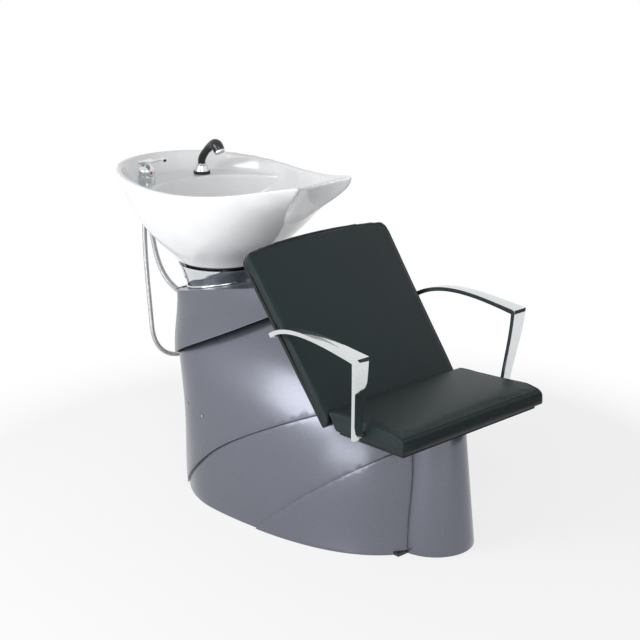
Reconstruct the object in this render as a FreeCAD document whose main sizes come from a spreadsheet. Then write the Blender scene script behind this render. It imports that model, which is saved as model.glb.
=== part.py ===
import FreeCAD, Part
import math
import os
from functools import lru_cache
from types import SimpleNamespace

from FreeCAD import Placement, Rotation, Vector

# Salon backwash unit. Millimetres and degrees, +Z up, the sitter faces -Y.
# The origin is on the floor, at the centre of the four floor bolts.

SIZES = {
    # steel frame
    "plate_width": 300, "plate_front": -285, "plate_rear": 400, "plate_thick": 8,
    "bolt_hole_radius": 6, "bolt_spread_x": 110, "bolt_spread_y": 260,
    "pipe_hole_width": 120, "pipe_hole_front": 120, "pipe_hole_length": 160,
    "post_width": 80, "post_depth": 70, "post_front": 330, "post_wall": 4,
    "beam_width": 80, "beam_height": 60, "beam_top": 310, "beam_front": -440, "beam_wall": 4,
    "front_post_radius": 30, "front_post_wall": 3, "front_foot_radius": 80,
    "head_plate_width": 130, "head_plate_front": 335, "head_plate_rear": 545,
    "head_plate_bottom": 500, "head_plate_thick": 10, "head_hole_radius": 28,
    # lacquered shells
    "shell_wall": 5, "shell_step": 6, "shell_top": 650, "head_z": 537, "head_pitch": 12,
    "lid_thick": 5, "lid_gap": 1.5, "beam_play": 2, "cone_play": 1,
    "neck_radius": 123, "brow_spread": 0.2, "brow_rear": 520, "tail_front": -262,
    "cone_y": -400, "cone_foot_radius": 108, "cone_top_radius": 78, "cone_top": 318, "cone_wall": 5,
    "screw_head_radius": 4, "screw_head_height": 2.4, "grommet_way": 40,
    "hatch_width": 150, "hatch_bottom": 120, "hatch_height": 190, "hatch_margin": 12,
    "clip_width": 34, "clip_depth": 30, "clip_height": 9,
    # collar and tilt hinge
    "head_y": 455, "collar_radius": 127, "collar_foot_radius": 104, "collar_top": 601.5,
    "collar_wall": 4,
    "bead_radius": 4, "bead_inset": 1, "bead_sink": 1.2, "grub_radius": 4, "grub_length": 6, "grub_proud": 1.5,
    "grub_rise": 30,
    "hinge_offset": 80, "hinge_z": 590, "hinge_pin_radius": 6, "hinge_play": 0.05,
    "knuckle_radius": 12, "knuckle_half": 35, "cheek_thick": 8, "cheek_depth": 26, "cheek_gap": 0.3,
    "rest_post_radius": 9, "rest_post_x": 40, "rest_post_offset": 65, "buffer_height": 12,
    "saddle_radius": 114, "saddle_thick": 8, "saddle_bolt_radius": 4, "saddle_bolt_ring": 104,
    "saddle_bolt_head": 5, "saddle_bolt_head_radius": 7, "saddle_drain_play": 4, "cheek_setback": 2,
    # basin
    "basin_bottom": 610, "basin_half_width": 262, "basin_front": 12, "basin_rear": 792,
    "basin_middle": 470, "basin_neck_radius": 127, "rim_width": 17, "bowl_floor": 690, "cavity_radius": 104,
    "deck_radius": 250, "deck_centre_y": 380, "deck_top": 816, "deck_under": 786, "deck_wall": 14,
    "spot_radius": 32,
    "rim_lip": 906, "rim_side": 851, "rim_rear": 868, "lip_sag": 22, "lip_sag_half_width": 96,
    "neck_rest_radius": 154, "neck_rest_tilt": 35, "neck_rest_y": 66, "neck_rest_z": 884,
    "neck_rest_wall": 17,
    "drain_radius": 22, "drain_grid_radius": 34, "drain_grid_thick": 3, "drain_tail_low": 548,
    "drain_bore": 17, "drain_nut_radius": 32, "drain_nut_height": 12,
    "drain_boss_margin": 6, "drain_boss_height": 28, "grid_hole_radius": 2.6, "grid_hole_ring": 10.54,
    "cavity_roof": 16, "rim_flare": 75, "rim_flare_width": 8, "rim_flare_front": 36, "rim_flare_rear": 24,
    # tap
    "tap_x": -120, "tap_y": 645, "tap_radius": 25, "tap_top": 843, "tap_tail_radius": 16,
    "tap_tail_length": 41, "tap_nut_radius": 26, "tap_nut_height": 10, "cap_radius": 24, "cap_height": 32,
    "cap_skirt": 16, "cap_stem_radius": 10, "cap_stem_depth": 24, "stem_end_play": 1, "lug_depth": 12,
    "lug_margin": 8, "lug_foot": 4, "lever_pivot_y": 12, "lever_eye_radius": 5, "lever_pin_inset": 1,
    "cap_clear": 4, "marker_rise": 9, "marker_sink": 0.7, "lever_crest": 9, "lever_shoulder": 6,
    "lever_rise": 16, "lever_tip_rise": 22, "lever_pivot_z": 877, "lever_length": 100, "lever_width": 30,
    "lever_tip_width": 11, "lever_thick": 7, "lever_pin_radius": 3, "marker_radius": 3.5,
    "marker_height": 1.5,
    # hand shower
    "socket_x": 95, "socket_y": 655, "socket_foot_radius": 22, "socket_top_radius": 16,
    "socket_height": 18, "socket_bore": 9.5, "socket_tail_radius": 13, "gasket_radius": 25,
    "gasket_height": 8, "socket_nut_radius": 22, "socket_nut_height": 9, "socket_tail_length": 36,
    "handle_radius": 12.5, "head_radius": 17.5, "ring_height": 5, "ring_step": 2,
    "rose_radius": 15, "rose_height": 6,
    # hoses
    "hose_radius": 7, "supply_radius": 6, "waste_radius": 14, "waste_wall": 3, "grommet_radius": 23,
    "grommet_length": 24, "grommet_x": -99, "grommet_y": 548, "grommet_z": 508,
    "grommet_play": 1, "grommet_lip": 1,
    "waste_outlet_low": 20, "waste_outlet_height": 60, "waste_outlet_y": 430, "outlet_clip_rise": 20,
    "outlet_clip_height": 20,
    # seat and back
    "seat_front": -539, "seat_low": 354, "seat_pitch": 2.63, "seat_length": 312, "seat_thick": 52,
    "seat_half_front": 270, "seat_half_rear": 252, "pad_corner": 9, "seat_crown": 8,
    "seat_board_thick": 12, "pad_draw_in": 4, "pad_least_crown": 0.5, "seat_gap": 1,
    "seat_board_inset": 18, "seat_board_length": 240, "seat_plate_thick": 6, "seat_plate_width": 280,
    "seat_plate_length": 190, "rail_width": 18, "rail_length": 90, "rail_height": 30, "rail_x": 237,
    "rail_front": 105,
    "back_foot_y": -236, "back_foot_z": 391, "back_lean": 37.7, "back_length": 461, "back_drop": 44,
    "back_half_top": 262, "back_half_foot": 250, "back_thick": 26, "back_crown": 7,
    "back_corner_radius": 34, "back_arch": 16, "back_board_thick": 10, "back_board_inset": 3,
    "bracket_thick": 6, "bracket_rise": 240, "bracket_low": 40, "bracket_heel": 30, "bracket_heel_rise": 26,
    "bracket_toe": 60, "back_clearance": 14, "back_trim": 2, "back_trim_top": 3, "back_reach": 40,
    # arms
    "arm_corner_width": 46, "arm_rear_width": 22, "arm_foot_width": 28, "arm_corner_x": 297,
    "arm_rear_x": 273, "arm_foot_x": 281, "arm_boss_radius": 5, "arm_bolt_radius": 4,
    "arm_bolt_length": 38, "arm_bolt_y": -391, "arm_bolt_z": 368, "arm_foot_drop": 9, "arm_spacer_radius": 7,
    "arm_spacer_length": 20, "arm_boss_length": 26, "arm_boss_y": -75.5, "arm_boss_z": 555,
    # clearances
    "slip": 0.3,
}

doc = FreeCAD.newDocument("backwash_unit")
sheet = doc.addObject("Spreadsheet::Sheet", "dims")
for row, (alias, number) in enumerate(SIZES.items(), start=1):
    sheet.set(f"A{row}", alias)
    sheet.set(f"B{row}", str(number))
    sheet.setAlias(f"B{row}", alias)
doc.recompute()
size = SimpleNamespace(**{alias: float(sheet.get(alias)) for alias in SIZES})

UPRIGHT = Rotation()
ALONG_X = Rotation(Vector(0, 1, 0), 90)
SIDES = {"right": -1, "left": 1}
nodes = []


# Building blocks

def sub_part(item):
    """Mark a finished object as a piece of the unit; its label names its file."""
    nodes.append(item)
    return item


def bind(item, **expressions):
    for name, text in expressions.items():
        item.setExpression(name, text)
    return item


def stand(item, x, y, z, turn=UPRIGHT):
    item.Placement = Placement(Vector(), turn)
    for axis, text in (("x", x), ("y", y), ("z", z)):
        item.setExpression(f"Placement.Base.{axis}", text)
    return item


def box(name, length, width, height, x, y, z):
    item = doc.addObject("Part::Box", name)
    bind(item, Length=length, Width=width, Height=height)
    return stand(item, x, y, z)


def rod(name, radius, height, x, y, z, turn=UPRIGHT):
    item = doc.addObject("Part::Cylinder", name)
    bind(item, Radius=radius, Height=height)
    return stand(item, x, y, z, turn)


def cone(name, foot, top, height, x, y, z):
    item = doc.addObject("Part::Cone", name)
    bind(item, Radius1=foot, Radius2=top, Height=height)
    return stand(item, x, y, z)


def fused(name, *items):
    item = doc.addObject("Part::MultiFuse", name)
    item.Shapes = list(items)
    return item


def less(name, base, *tools):
    item = doc.addObject("Part::Cut", name)
    item.Base = base
    item.Tool = tools[0] if len(tools) == 1 else fused(f"{name}_cutters", *tools)
    return item


def group(name, items):
    """Several separate solids in one piece, such as a set of like screws."""
    item = doc.addObject("Part::Compound", name)
    item.Links = items
    return item


def form(name, shape):
    """A free form whose shape comes from the sheet's sizes."""
    item = doc.addObject("Part::Feature", name)
    item.Shape = shape
    item.Placement = Placement()
    return item


def placed(name, shape, placement):
    """A free form drawn flat and then set at its slope."""
    item = form(name, shape)
    item.Placement = placement
    return sub_part(item)


def spline(points, closed=False):
    curve = Part.BSplineCurve()
    curve.interpolate(Points=points, PeriodicFlag=closed)
    return curve.toShape()


def oval(z, half_width, front, middle, rear, blunt, spread=0, count=36):
    """Level outline: half an ellipse behind its middle and a half of its own bluntness in front.

    spread widens it steadily from brow_rear to the front.
    """
    points = []
    for step in range(count):
        angle = 2 * math.pi * step / count
        across = math.cos(angle)
        along = math.sin(angle)
        power = 2 / (2 if along > 0 else blunt)
        reach = rear - middle if along > 0 else middle - front
        x = half_width * math.copysign(abs(across) ** power, across)
        y = middle + reach * math.copysign(abs(along) ** power, along)
        x *= 1 + spread * max(0, size.brow_rear - y) / size.brow_rear
        points.append(Vector(x, y, z))
    return Part.Wire(spline(points, closed=True))


def flat(points):
    """Points of a side view, as (y, z), on the centre plane."""
    return [Vector(0, y, z) for y, z in points]


def side_prism(edges, half_width):
    """A side view, closed by its edges, pulled out to both sides."""
    face = Part.Face(Part.Wire(Part.__sortEdges__(edges)))
    face.translate(Vector(-half_width, 0, 0))
    return face.extrude(Vector(2 * half_width, 0, 0))


def lines(points):
    return Part.makePolygon(flat(points)).Edges


# Steel frame

def frame():
    blank = box("floor_plate_blank", "dims.plate_width", "dims.plate_rear - dims.plate_front",
                "dims.plate_thick", "-dims.plate_width / 2", "dims.plate_front", "0")
    holes = []
    for index, (across, along) in enumerate(((-1, -1), (1, -1), (1, 1), (-1, 1))):
        holes.append(rod(f"bolt_hole_{index}", "dims.bolt_hole_radius", "dims.plate_thick",
                         f"{across} * dims.bolt_spread_x", f"{along} * dims.bolt_spread_y", "0"))
    pipes = box("pipe_hole", "dims.pipe_hole_width", "dims.pipe_hole_length", "dims.plate_thick",
                "-dims.pipe_hole_width / 2", "dims.pipe_hole_front", "0")
    sub_part(less("floor_plate", blank, pipes, *holes))

    height = "dims.head_plate_bottom - dims.plate_thick"
    outer = box("main_post_outer", "dims.post_width", "dims.post_depth", height,
                "-dims.post_width / 2", "dims.post_front", "dims.plate_thick")
    inner = box("main_post_inner", "dims.post_width - 2 * dims.post_wall",
                "dims.post_depth - 2 * dims.post_wall", height,
                "-dims.post_width / 2 + dims.post_wall", "dims.post_front + dims.post_wall",
                "dims.plate_thick")
    sub_part(less("main_post", outer, inner))

    length = "dims.post_front - dims.beam_front"
    low = "dims.beam_top - dims.beam_height"
    outer = box("seat_beam_outer", "dims.beam_width", length, "dims.beam_height",
                "-dims.beam_width / 2", "dims.beam_front", low)
    inner = box("seat_beam_inner", "dims.beam_width - 2 * dims.beam_wall", length,
                "dims.beam_height - 2 * dims.beam_wall", "-dims.beam_width / 2 + dims.beam_wall",
                "dims.beam_front", f"{low} + dims.beam_wall")
    sub_part(less("seat_beam", outer, inner))

    sub_part(rod("front_foot", "dims.front_foot_radius", "dims.plate_thick", "0", "dims.cone_y", "0"))
    height = f"{low} - dims.plate_thick"
    outer = rod("front_post_outer", "dims.front_post_radius", height, "0", "dims.cone_y", "dims.plate_thick")
    inner = rod("front_post_inner", "dims.front_post_radius - dims.front_post_wall", height,
                "0", "dims.cone_y", "dims.plate_thick")
    sub_part(less("front_post", outer, inner))

    blank = box("head_plate_blank", "dims.head_plate_width", "dims.head_plate_rear - dims.head_plate_front",
                "dims.head_plate_thick", "-dims.head_plate_width / 2", "dims.head_plate_front",
                "dims.head_plate_bottom")
    hole = rod("head_plate_hole", "dims.head_hole_radius", "dims.head_plate_thick", "0", "dims.head_y",
               "dims.head_plate_bottom")
    sub_part(less("head_plate", blank, hole))


# Lacquered shells

BASE_BLUNT = 2.5
# Level outlines of the base as height, half width, front, widest place and rear
BASE_STATIONS = (
    (0, 297, -420, 137, 460),
    (150, 281, -412, 178, 466),
    (300, 256, -392, 240, 484),
    (430, 208, -300, 335, 520),
    (size.head_z, size.neck_radius, -150, size.head_y, size.head_y + size.neck_radius),
    (size.shell_top, 84, -20, 470, 600),
)


@lru_cache
def base_body(grow, spread=0):
    """The whole base, grown outwards: wide at the floor, round at the head, leaning to the rear."""
    wires = []
    for z, half_width, front, middle, rear in BASE_STATIONS:
        wires.append(oval(z, half_width + grow, front - grow, middle, rear + grow, BASE_BLUNT, spread))
    return Part.makeLoft(wires, True, False)


@lru_cache
def shell_wall(grow):
    return base_body(grow).cut(base_body(grow - size.shell_wall))


def back_frame(y, z):
    """A point beside the back: y out of its front face, z up along it."""
    lean = math.radians(size.back_lean)
    forward = Vector(0, -math.cos(lean), math.sin(lean))
    upward = Vector(0, math.sin(lean), math.cos(lean))
    return Vector(0, size.back_foot_y, size.back_foot_z) + forward * y + upward * z


# Half width and far limits of the cutting blocks, well outside the unit
SHELL_REACH = 420
FAR_FRONT = -600
FAR_REAR = 900
FAR_TOP = 1500

# Seams between the shells in side view, and the screws low on each side, as (y, z)
SEAM_HEAD = ((760, 190), (520, 318), (393, 388), (210, 478), (49, 564), (-160, 672))
SEAM_MIDDLE = ((460, -170), (330, 22), (275, 72), (166, 168), (50, 240), (-85, 308), (-300, 402))
SEAM_FRONT = ((30, -50), (-24, 2), (-145, 110), (-240, 182), (-340, 252), (-520, 372))
SIDE_SCREWS = ((226, 250), (313, 258))


def head_cut(lift):
    """Everything above the sloping plane on which the collar sits."""
    slope = math.tan(math.radians(size.head_pitch))
    ends = [(y, size.head_z + lift - (y - size.head_y) * slope) for y in (FAR_FRONT, FAR_REAR)]
    return side_prism(lines(ends + [(FAR_REAR, FAR_TOP), (FAR_FRONT, FAR_TOP), ends[0]]), SHELL_REACH)


def half_space(sign):
    low = -SHELL_REACH if sign < 0 else 0
    return Part.makeBox(SHELL_REACH, 2 * FAR_TOP, FAR_TOP, Vector(low, -FAR_TOP, 0))


def beside_back(near, far):
    """The slab between two distances out of the back's front face, past both its ends."""
    corners = [back_frame(out, up) for out, up in ((near, FAR_FRONT), (near, FAR_REAR), (far, FAR_REAR),
                                                   (far, FAR_FRONT))]
    return side_prism(Part.makePolygon(corners + corners[:1]).Edges, SHELL_REACH)


def shells():
    head, middle, front = [spline(flat(points)) for points in (SEAM_HEAD, SEAM_MIDDLE, SEAM_FRONT)]
    roof = FAR_TOP
    far = SEAM_HEAD[0][0]
    over_head = side_prism([head] + lines((SEAM_HEAD[-1], (SEAM_HEAD[-1][0], roof), (far, roof),
                                           SEAM_HEAD[0])), SHELL_REACH)
    over_middle = side_prism([middle] + lines((SEAM_MIDDLE[-1], (SEAM_MIDDLE[-1][0], roof), (far, roof),
                                               (far, SEAM_MIDDLE[0][1]), SEAM_MIDDLE[0])), SHELL_REACH)
    before_front = side_prism([front] + lines((SEAM_FRONT[-1], (SEAM_FRONT[-1][0], SEAM_FRONT[0][1]),
                                               SEAM_FRONT[0])), SHELL_REACH)
    behind = -size.back_thick - size.back_board_thick - size.back_clearance
    before_back = beside_back(behind, FAR_REAR)
    under_seat = Part.makeBox(2 * SHELL_REACH, 2 * FAR_TOP, size.cone_top, Vector(-SHELL_REACH, -FAR_TOP, 0))
    core = Part.makeCone(size.cone_foot_radius + size.slip, size.cone_top_radius + size.slip, size.cone_top,
                         Vector(0, size.cone_y, 0))
    play = size.beam_play
    beam_gap = Part.makeBox(size.beam_width + 2 * play, SHELL_REACH, size.cone_top,
                            Vector(-size.beam_width / 2 - play, size.beam_front - size.cone_foot_radius,
                                   size.beam_top - size.beam_height - play))
    step = size.shell_step
    grommet = grommet_rod(size.grommet_radius, -size.grommet_way, size.grommet_way)

    brow = base_body(2 * step, size.brow_spread)
    brow_inside = base_body(2 * step - size.shell_wall, size.brow_spread)
    column = brow.cut(brow_inside).common(over_head).cut(before_back).cut(head_cut(0)).cut(grommet)
    sub_part(form("column_shell", largest(column)))

    band = shell_wall(step)
    opening = hatch_block(0)
    screws = []
    for sign in SIDES.values():
        for y, z in SIDE_SCREWS:
            screws.append(side_screw(base_body(step), sign, y, z))
    middle_band = band.common(over_middle).cut(over_head).cut(before_back).cut(opening).cut(grommet)
    for screw in screws:
        middle_band = middle_band.cut(screw)
    sub_part(form("middle_shell", largest(middle_band)))
    sub_part(form("shell_screws", Part.makeCompound(screws)))
    hatch = band.common(hatch_block(size.slip))
    heads = []
    for across in (-1, 1):
        for up in (size.hatch_bottom + size.hatch_margin,
                   size.hatch_bottom + size.hatch_height - size.hatch_margin):
            x = across * (size.hatch_width / 2 - size.hatch_margin)
            probe = Part.makeLine(Vector(x, size.post_front, up), Vector(x, 2 * SHELL_REACH, up))
            surface = max(vertex.Y for vertex in probe.common(base_body(step)).Vertexes)
            foot = Vector(x, surface - size.shell_wall, up)
            length = size.shell_wall + size.screw_head_height
            heads.append(Part.makeCylinder(size.screw_head_radius, length, foot, Vector(0, 1, 0)))
    for screw in heads:
        hatch = hatch.cut(screw)
    sub_part(form("rear_hatch", largest(hatch)))
    sub_part(form("hatch_screws", Part.makeCompound(heads)))

    tail = Part.makeBox(2 * SHELL_REACH, FAR_TOP, FAR_TOP, Vector(-SHELL_REACH, size.tail_front, 0))
    room = under_seat.fuse(tail.cut(before_back))
    lower = shell_wall(0).common(room).cut(over_middle).cut(before_front).cut(core).cut(beam_gap)
    toe = shell_wall(step).common(under_seat).common(before_front).cut(over_middle).cut(core)
    for side, sign in SIDES.items():
        sub_part(form(f"lower_shell_{side}", largest(lower.common(half_space(sign)))))
        sub_part(form(f"front_shell_{side}", largest(toe.common(half_space(sign)))))

    slab = head_cut(-size.lid_thick).cut(head_cut(0))
    hole = collar_cone(-size.collar_wall - size.lid_gap)
    lid_edge = base_body(2 * step - size.shell_wall - size.slip, size.brow_spread)
    lid = lid_edge.common(slab).cut(hole).cut(before_back).cut(grommet)
    sub_part(form("column_lid", largest(lid)))

    outer = cone("front_cone_outer", "dims.cone_foot_radius", "dims.cone_top_radius", "dims.cone_top",
                 "0", "dims.cone_y", "0")
    inner = cone("front_cone_inner", "dims.cone_foot_radius - dims.cone_wall",
                 "dims.cone_top_radius - dims.cone_wall", "dims.cone_top", "0", "dims.cone_y", "0")
    slot = box("front_cone_slot", "dims.beam_width + 2 * dims.cone_play", "2 * dims.cone_foot_radius",
               "dims.cone_top", "-dims.beam_width / 2 - dims.cone_play", "dims.cone_y",
               "dims.beam_top - dims.beam_height - dims.cone_play")
    sub_part(less("front_cone", outer, inner, slot))

    clips = []
    solid_base = base_body(step + size.slip)
    for sign in SIDES.values():
        corner = Vector(sign * (size.cone_foot_radius + size.clip_width / 2) - size.clip_width / 2,
                        size.cone_y - size.clip_depth / 4, 0)
        clip = Part.makeBox(size.clip_width, size.clip_depth, size.clip_height, corner)
        clips.append(largest(clip.cut(core).cut(solid_base)))
    sub_part(form("floor_clips", Part.makeCompound(clips)))


def hatch_block(play):
    """The service opening at the rear, or the hatch that fills it."""
    return Part.makeBox(size.hatch_width - 2 * play, SHELL_REACH, size.hatch_height - 2 * play,
                        Vector(-size.hatch_width / 2 + play, size.post_front, size.hatch_bottom + play))


def side_screw(body, sign, y, z):
    """A screw through the side wall, its head just proud of the lacquer."""
    probe = Part.makeLine(Vector(0, y, z), Vector(sign * SHELL_REACH, y, z)).common(body)
    surface = max(abs(vertex.X) for vertex in probe.Vertexes)
    foot = Vector(sign * (surface - size.shell_wall), y, z)
    return Part.makeCylinder(size.screw_head_radius, size.shell_wall + size.screw_head_height, foot,
                             Vector(sign, 0, 0))


# Collar and tilt hinge

# Bearings of the collar's grub screws and the saddle's bolts about the column, in degrees
GRUB_TURNS = (163, 17)
SADDLE_BOLT_TURNS = (20, 160, 235, 305)


def collar_slope():
    """How much the collar's radius grows with each millimetre of height."""
    return (size.collar_radius - size.collar_foot_radius) / (size.collar_top - size.head_z)


def collar_cone(grow):
    """The collar's flaring form, from inside the column up to its top, grown outwards."""
    low = size.head_plate_bottom
    foot = size.collar_foot_radius - (size.head_z - low) * collar_slope()
    return Part.makeCone(foot + grow, size.collar_radius + grow, size.collar_top - low,
                         Vector(0, size.head_y, low))


def collar():
    axis = Vector(0, size.head_y, 0)
    pitch = math.radians(size.head_pitch)
    normal = Vector(0, math.sin(pitch), math.cos(pitch))
    skew = collar_slope() * math.tan(pitch)
    ahead = size.collar_foot_radius / (1 - skew)
    astern = size.collar_foot_radius / (1 + skew)
    shift = (ahead - astern) / 2
    rise = normal * (size.bead_radius - size.bead_sink)
    centre = axis + Vector(0, -shift, size.head_z + shift * math.tan(pitch)) + rise
    bead = Part.makeTorus((ahead + astern) / 2 + size.bead_inset, size.bead_radius, centre, normal)
    ring = collar_cone(0).common(head_cut(0)).fuse(bead.common(head_cut(0))).cut(collar_cone(-size.collar_wall))
    foot = size.collar_foot_radius + size.grub_rise * collar_slope()
    screws = []
    for turn in GRUB_TURNS:
        direction = Vector(math.cos(math.radians(turn)), math.sin(math.radians(turn)), 0)
        start = axis + Vector(0, 0, size.head_z + size.grub_rise) + direction * (foot - size.grub_length)
        length = size.grub_length + size.grub_proud
        screws.append(Part.makeCylinder(size.grub_radius, length, start, direction))
    for screw in screws:
        ring = ring.cut(screw)
    sub_part(form("tilt_collar", largest(ring)))
    sub_part(form("collar_screws", Part.makeCompound(screws)))


def hinge():
    top = "dims.head_plate_bottom + dims.head_plate_thick"
    hinge_y = "dims.head_y - dims.hinge_offset"
    cheeks = []
    for side, sign in SIDES.items():
        x = f"{sign} * (dims.knuckle_half + dims.cheek_gap + dims.cheek_thick / 2) - dims.cheek_thick / 2"
        blank = box(f"cheek_{side}", "dims.cheek_thick", "dims.cheek_depth",
                    f"dims.hinge_z + dims.knuckle_radius - dims.cheek_setback - ({top})", x,
                    f"{hinge_y} - dims.cheek_depth / 2", top)
        hole = rod(f"cheek_hole_{side}", "dims.hinge_pin_radius", "dims.cheek_thick", x, hinge_y,
                   "dims.hinge_z", ALONG_X)
        cheeks.append(less(f"cheek_drilled_{side}", blank, hole))
    sub_part(group("hinge_cheeks", cheeks))
    reach = "(dims.knuckle_half + dims.cheek_gap + dims.cheek_thick)"
    sub_part(rod("hinge_pin", "dims.hinge_pin_radius", f"2 * {reach}", f"-{reach}", hinge_y, "dims.hinge_z",
                 ALONG_X))

    posts = []
    buffers = []
    rest_y = "dims.head_y + dims.rest_post_offset"
    seat = "dims.basin_bottom - dims.saddle_thick"
    for side, sign in SIDES.items():
        posts.append(rod(f"rest_post_{side}", "dims.rest_post_radius",
                         f"{seat} - dims.buffer_height - ({top})", f"{sign} * dims.rest_post_x", rest_y, top))
        buffers.append(rod(f"buffer_{side}", "dims.rest_post_radius", "dims.buffer_height - dims.slip",
                           f"{sign} * dims.rest_post_x", rest_y, f"{seat} - dims.buffer_height"))
    sub_part(group("rest_posts", posts))
    sub_part(group("post_buffers", buffers))

    disc = rod("saddle_disc", "dims.saddle_radius", "dims.saddle_thick", "0", "dims.head_y", seat)
    knuckle = rod("saddle_knuckle", "dims.knuckle_radius", "2 * dims.knuckle_half", "-dims.knuckle_half",
                  hinge_y, "dims.hinge_z", ALONG_X)
    web = box("saddle_web", "2 * dims.knuckle_half", "2 * dims.knuckle_radius", f"{seat} - dims.hinge_z",
              "-dims.knuckle_half", f"{hinge_y} - dims.knuckle_radius", "dims.hinge_z")
    bore = rod("saddle_bore", "dims.hinge_pin_radius + dims.hinge_play", "2 * dims.knuckle_half",
               "-dims.knuckle_half", hinge_y, "dims.hinge_z", ALONG_X)
    drain = rod("saddle_drain", "dims.drain_radius + dims.saddle_drain_play", "dims.saddle_thick", "0",
                "dims.head_y", seat)
    holes = []
    bolts = []
    for turn in SADDLE_BOLT_TURNS:
        x = f"dims.saddle_bolt_ring * cos({turn})"
        y = f"dims.head_y + dims.saddle_bolt_ring * sin({turn})"
        holes.append(rod(f"saddle_hole_{turn}", "dims.saddle_bolt_radius", "dims.saddle_thick", x, y, seat))
        shank = rod(f"saddle_shank_{turn}", "dims.saddle_bolt_radius", "dims.saddle_thick", x, y, seat)
        top_head = rod(f"saddle_head_{turn}", "dims.saddle_bolt_head_radius", "dims.saddle_bolt_head", x, y,
                       f"{seat} - dims.saddle_bolt_head")
        bolts.append(fused(f"saddle_bolt_{turn}", shank, top_head))
    sub_part(less("tilt_saddle", fused("saddle_blank", disc, knuckle, web), bore, drain, *holes))
    sub_part(group("saddle_bolts", bolts))


# Basin

def neck_recess(grow):
    """The slanted round hollow in the basin's front, for the sitter's neck."""
    tilt = math.radians(size.neck_rest_tilt)
    run = Vector(0, math.sin(tilt), -math.cos(tilt))
    reach = size.neck_rest_radius
    axis_y = size.neck_rest_y - reach / math.cos(tilt)
    start = Vector(0, axis_y, size.neck_rest_z) - run * reach
    return Part.makeCylinder(reach + grow, 2 * reach + size.neck_rest_z - size.basin_bottom, start, run)


def basin():
    hub = size.head_y
    neck = size.basin_neck_radius
    middle = size.basin_middle
    wide = size.basin_half_width
    front = size.basin_front
    rear = size.basin_rear
    rim = size.rim_side
    low = size.basin_bottom
    blunt = 1.8
    brim = rim + size.rim_flare
    flare = size.rim_flare_width
    brim_front = front - size.rim_flare_front
    brim_rear = rear + size.rim_flare_rear
    outer = Part.makeLoft([
        oval(low, neck, hub - neck, hub, hub + neck, 2),
        oval(low + 50, neck + 45, hub - neck - 52, hub, hub + neck + 58, 2.1),
        oval(low + 120, wide - 40, front + 178, middle, rear - 87, 2.2),
        oval(low + 190, wide - 12, front + 90, middle, rear - 35, 2),
        oval(rim, wide, front, middle, rear, blunt),
        oval(brim, wide + flare, brim_front, middle, brim_rear, blunt),
    ], True, False)
    inset = size.rim_width
    floor = size.bowl_floor
    bowl = Part.makeLoft([
        oval(floor, 66, hub - 70, hub, hub + 70, 2),
        oval(floor + 14, 118, hub - 138, hub, hub + 140, 2.1),
        oval(floor + 56, wide - 60, front + 200, middle, rear - 92, 2.2),
        oval(floor + 110, wide - 31, front + 114, middle, rear - 52, 2),
        oval(rim, wide - inset, front + inset, middle, rear - inset, blunt),
        oval(brim, wide + flare - inset, brim_front + inset, middle, brim_rear - inset, blunt),
    ], True, False)
    well_middle = Vector(0, size.deck_centre_y, 0)
    well = Part.makeCylinder(size.deck_radius, size.deck_top, well_middle)
    well_wall = Part.makeCylinder(size.deck_radius + size.deck_wall, size.deck_under, well_middle)
    corner = well_middle - Vector(2 * wide, 0, 0)
    behind = Part.makeBox(4 * wide, 2 * wide, size.deck_top, corner)
    below = Part.makeBox(4 * wide, 2 * wide, size.deck_under, corner).cut(well_wall)
    deck = behind.cut(well).cut(below)
    profile = (
        (-60, size.rim_lip + 4), (front - 10, size.rim_lip), (150, 876), (370, size.rim_side), (560, 859),
        (720, size.rim_rear), (FAR_REAR, size.rim_rear),
    )
    closing = lines((profile[-1], (FAR_REAR, FAR_TOP), (profile[0][0], FAR_TOP), profile[0]))
    above = side_prism([spline(flat(profile))] + closing, 2 * wide)
    sag = size.lip_sag
    half = size.lip_sag_half_width
    sag_radius = (half ** 2 + sag ** 2) / (2 * sag)
    dip = Part.makeCylinder(sag_radius, 2 * neck, Vector(0, front - neck, size.rim_lip - sag + sag_radius),
                            Vector(0, 1, 0))
    cavity = size.cavity_radius
    under = Part.makeLoft([
        oval(low, cavity, hub - cavity, hub, hub + cavity, 2),
        oval(floor - size.cavity_roof, cavity, hub - cavity, hub, hub + cavity, 2),
    ], True, False)
    hollow = bowl.cut(deck).cut(neck_recess(size.neck_rest_wall))
    shape = outer.cut(neck_recess(0)).cut(hollow).cut(above).cut(dip).cut(under)
    boss = Part.makeCylinder(size.drain_nut_radius + size.drain_boss_margin, size.drain_boss_height,
                             Vector(0, hub, floor - size.drain_boss_height))
    shape = shape.fuse(boss)
    play = size.slip
    grid_seat = Vector(0, hub, floor - size.drain_grid_thick)
    cutters = [Part.makeCylinder(size.drain_radius + play, floor, Vector(0, hub, low)),
               Part.makeCylinder(size.drain_grid_radius + play, floor, grid_seat)]
    for x, y, radius in ((size.tap_x, size.tap_y, size.tap_tail_radius),
                         (size.socket_x, size.socket_y, size.socket_tail_radius)):
        cutters.append(Part.makeCylinder(radius + play, floor, Vector(x, y, low)))
        cutters.append(Part.makeCylinder(size.spot_radius, size.deck_under - low, Vector(x, y, low)))
    for cutter in cutters:
        shape = shape.cut(cutter)
    sub_part(form("basin", largest(shape)))


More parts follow.
